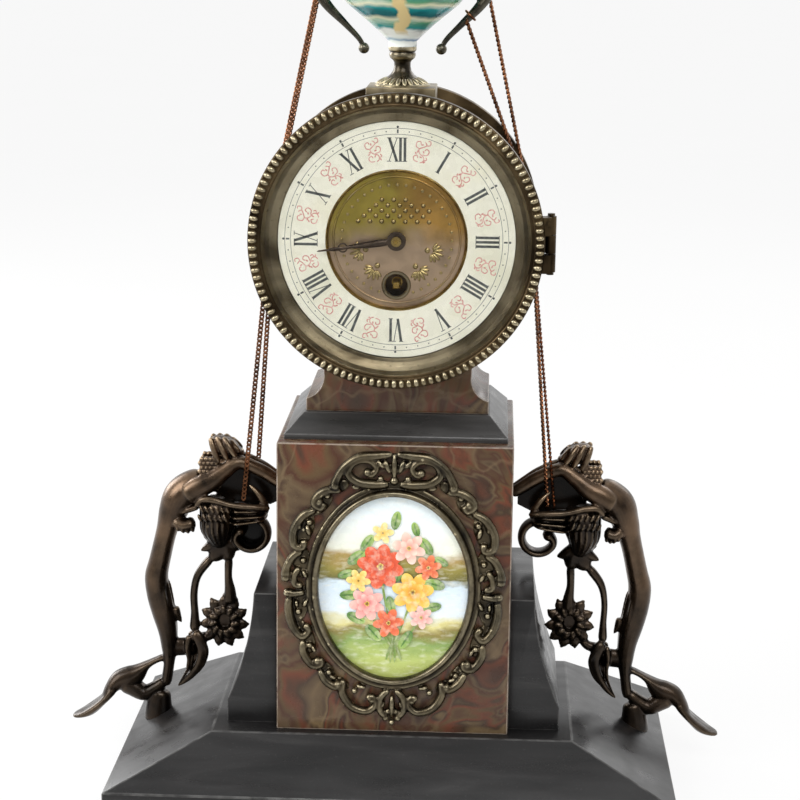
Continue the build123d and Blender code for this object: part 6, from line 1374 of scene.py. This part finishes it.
def build_urn():
    """Porcelain urn with its turned foot, neck ring, cover and handles."""
    urn = bmesh.new()
    turned(urn, [(radius, URN_SEAT + up) for radius, up in URN_PROFILE], 96, URN_AXIS)
    finish_piece("urn_body_glazed", urn, "case", PORCELAIN, 50, ("urn_body",))
    plate = bmesh.new()
    place = Matrix.Translation((0, URN_Y, URN_BASE - PLATE_H / 2))
    place = place @ Matrix.Diagonal((PLATE_W, PLATE_W, PLATE_H, 1))
    bmesh.ops.create_cube(plate, size=1.0, matrix=place)
    soften(plate, 0.5)
    finish_piece("urn_foot_plate", plate, "case", BEZEL_BRASS, 40, ("urn_foot",))
    foot = bmesh.new()
    turned(foot, FOOT_PROFILE, 64, URN_AXIS)
    for index in range(FOOT_LEAVES):
        angle = 2 * math.pi * index / FOOT_LEAVES
        ball(foot, about_urn(FOOT_LEAF_R, angle, FOOT_LEAF_Z), (3.3, 1.15, 0.9), 0.52, angle, 10, 6)
    finish_piece("urn_foot_cast", foot, "case", FRAME_BRASS, 40, ("urn_foot",))
    neck = bmesh.new()
    turned(neck, NECK_PROFILE, 72, URN_AXIS, 0.5)
    for index in range(NECK_BEADS):
        at = about_urn(NECK_BEAD_RING_R, 2 * math.pi * index / NECK_BEADS, NECK_BEAD_Z)
        ball(neck, at, (NECK_BEAD_R, NECK_BEAD_R, NECK_BEAD_R), 0, 0, 8, 5)
    finish_piece("urn_neck_ring", neck, "case", FRAME_BRASS, 40, ("urn_neck_mount",))
    cover = bmesh.new()
    turned(cover, URN_COVER_PROFILE, 64, URN_AXIS)
    finish_piece("urn_cover_turned", cover, "case", FRAME_BRASS, 40, ("urn_cover",))
    for side, name in ((-1, "left_handle"), (1, "right_handle")):
        shape = bmesh.new()
        path = [(side * out, URN_Y, URN_SEAT + up, radius, radius) for out, up, radius in HANDLE]
        limb(shape, path, 16, 6)
        ball(shape, (side * 17.4, URN_Y, URN_SEAT - 1.0), (2.5, 2.5, 2.5), 0, 0, 16, 10)
        for out, up, length, turn in HANDLE_LEAVES:
            for face in (-1, 0, 1):
                at = (side * (out - 0.4 * abs(face)), URN_Y + face * 1.5, URN_SEAT + up)
                ball(shape, at, (1.5 + 1.6 * (face == 0), 1.9, length), side * turn)
        finish_piece(name + "_cast", shape, "case", HANDLE_BRASS, 50, (name,))


build_urn()

# Finishes of the pieces that keep their own solids
NODE_FINISHES = {
    IRON: ("tie_rod", "tie_nuts", "figure_screws"),
    BRIGHT_BRASS: (
        "front_plate", "back_plate", "plate_pillars", "back_cock", "mainspring_barrel", "barrel_cap",
        "minute_wheel", "hour_wheel", "pendulum_bob", "centre_arbor", "third_wheel", "escape_wheel",
        "winding_arbor"),
    STEEL: (
        "pillar_screws", "mainspring", "click", "click_spring", "cannon_pinion", "anchor", "pendulum_rod"),
    DULL_STEEL: ("ratchet_wheel",),
    GILT: ("centre_ring", "hand_nut"),
    BEZEL_BRASS: ("dial_plate", "dial_screws", "winding_grommet"),
    CENTRE_BRASS: ("dial_centre",),
    DRUM_BRASS: ("case_hinge_leaf", "hinge_pin", "bezel_hinge_leaf"),
    HAND_METAL: ("hour_hand",),
    ENAMEL: ("chapter_ring",),
    GLASS: ("bezel_glass",),
    COPPER: ("chain_rings",),
}
for finish, names in NODE_FINISHES.items():
    for name in names:
        nodes[name].data.materials.clear()
        nodes[name].data.materials.append(finish)


# Stage and light. ROOM_FRONT is the share of white that mirrors see in the front of the room.
ROOM_FRONT = 0.3
FLOOR_R, FLOOR_DROP, FLOOR_GLOW = 16.0, 0.0005, 0.88
SOFT_LIGHT = 0.5


def background_rays(tree):
    """Share of rays that should see the plain background: from the camera, mirrors and glass."""
    path = tree.nodes.new("ShaderNodeLightPath")
    total = path.outputs["Is Camera Ray"]
    for name in ("Is Glossy Ray", "Is Transmission Ray"):
        larger = tree.nodes.new("ShaderNodeMath")
        larger.operation = "MAXIMUM"
        tree.links.new(total, larger.inputs[0])
        tree.links.new(path.outputs[name], larger.inputs[1])
        total = larger.outputs["Value"]
    return total


def build_stage():
    """Pale floor that keeps a soft shadow."""
    shape = bmesh.new()
    bmesh.ops.create_circle(shape, cap_ends=True, segments=96, radius=FLOOR_R)
    mesh = bpy.data.meshes.new("studio_floor")
    shape.to_mesh(mesh)
    shape.free()
    floor = bpy.data.objects.new("studio_floor", mesh)
    floor.location = (0, 0, -FLOOR_DROP)
    scene.collection.objects.link(floor)
    finish = Finish("pale_floor", 0.0, 0.9)
    finish.colour(finish.ramp(finish.noise(3, 3), (0.3, tone("f1f1ef")), (0.7, tone("f6f6f4"))))
    glow = finish.nodes.new("ShaderNodeEmission")
    blend = finish.nodes.new("ShaderNodeMixShader")
    share = finish.sums("MULTIPLY", background_rays(finish.material.node_tree), FLOOR_GLOW)
    finish.links.new(share, blend.inputs["Fac"])
    mirrored = finish.nodes.new("ShaderNodeLightPath").outputs["Is Glossy Ray"]
    dim = finish.level(finish.axis("Y"), -0.9, -0.1, 1 - ROOM_FRONT, 0)
    dark = finish.sums("MULTIPLY", mirrored, dim)
    finish.links.new(finish.sums("SUBTRACT", 1.0, dark), glow.inputs["Strength"])
    finish.links.new(finish.shader.outputs["BSDF"], blend.inputs[1])
    finish.links.new(glow.outputs["Emission"], blend.inputs[2])
    finish.links.new(blend.outputs["Shader"], finish.nodes["Material Output"].inputs["Surface"])
    mesh.materials.append(finish.material)


def build_world():
    """White surround for the camera, a softer one for the light; mirrors see the room's darker front."""
    world = bpy.data.worlds.new("soft_studio")
    scene.world = world
    world.use_nodes = True
    tree = world.node_tree
    soft = tree.nodes["Background"]
    soft.inputs["Color"].default_value = (0.98, 0.98, 1.0, 1)
    soft.inputs["Strength"].default_value = SOFT_LIGHT
    white = tree.nodes.new("ShaderNodeBackground")
    white.inputs["Color"].default_value = (1, 1, 1, 1)
    split = tree.nodes.new("ShaderNodeSeparateXYZ")
    tree.links.new(tree.nodes.new("ShaderNodeTexCoord").outputs["Generated"], split.inputs["Vector"])
    front = tree.nodes.new("ShaderNodeMapRange")
    front.inputs["From Min"].default_value = -0.75
    front.inputs["From Max"].default_value = 0.1
    front.inputs["To Min"].default_value = 1 - ROOM_FRONT
    front.inputs["To Max"].default_value = 0.0
    tree.links.new(split.outputs["Y"], front.inputs["Value"])
    dim = tree.nodes.new("ShaderNodeMath")
    dim.operation = "MULTIPLY"
    tree.links.new(tree.nodes.new("ShaderNodeLightPath").outputs["Is Glossy Ray"], dim.inputs[0])
    tree.links.new(front.outputs["Result"], dim.inputs[1])
    strength = tree.nodes.new("ShaderNodeMath")
    strength.operation = "SUBTRACT"
    strength.inputs[0].default_value = 1.0
    tree.links.new(dim.outputs["Value"], strength.inputs[1])
    tree.links.new(strength.outputs["Value"], white.inputs["Strength"])
    blend = tree.nodes.new("ShaderNodeMixShader")
    tree.links.new(background_rays(tree), blend.inputs["Fac"])
    tree.links.new(soft.outputs["Background"], blend.inputs[1])
    tree.links.new(white.outputs["Background"], blend.inputs[2])
    tree.links.new(blend.outputs["Shader"], tree.nodes["World Output"].inputs["Surface"])


def soft_box(name, at, target, width, height, power):
    """Large soft lamp."""
    lamp = bpy.data.lights.new(name, "AREA")
    lamp.shape = "RECTANGLE"
    lamp.size, lamp.size_y = width, height
    lamp.energy = power
    holder = bpy.data.objects.new(name, lamp)
    holder.location = at
    aim = Vector(target) - Vector(at)
    holder.rotation_euler = aim.to_track_quat("-Z", "Y").to_euler()
    scene.collection.objects.link(holder)


build_stage()
build_world()
soft_box("window_light", (-1.4, -0.8, 1.0), (0, 0, 0.22), 1.1, 1.1, 22)
soft_box("front_fill", (0.4, -1.5, 1.5), (0, 0, 0.2), 1.4, 0.9, 21)
soft_box("rim_light", (-1.3, 0.9, 0.7), (0, 0, 0.2), 0.7, 1.0, 16)
soft_box("back_light", (0.9, 1.2, 1.0), (0, 0, 0.25), 1.0, 0.8, 5)
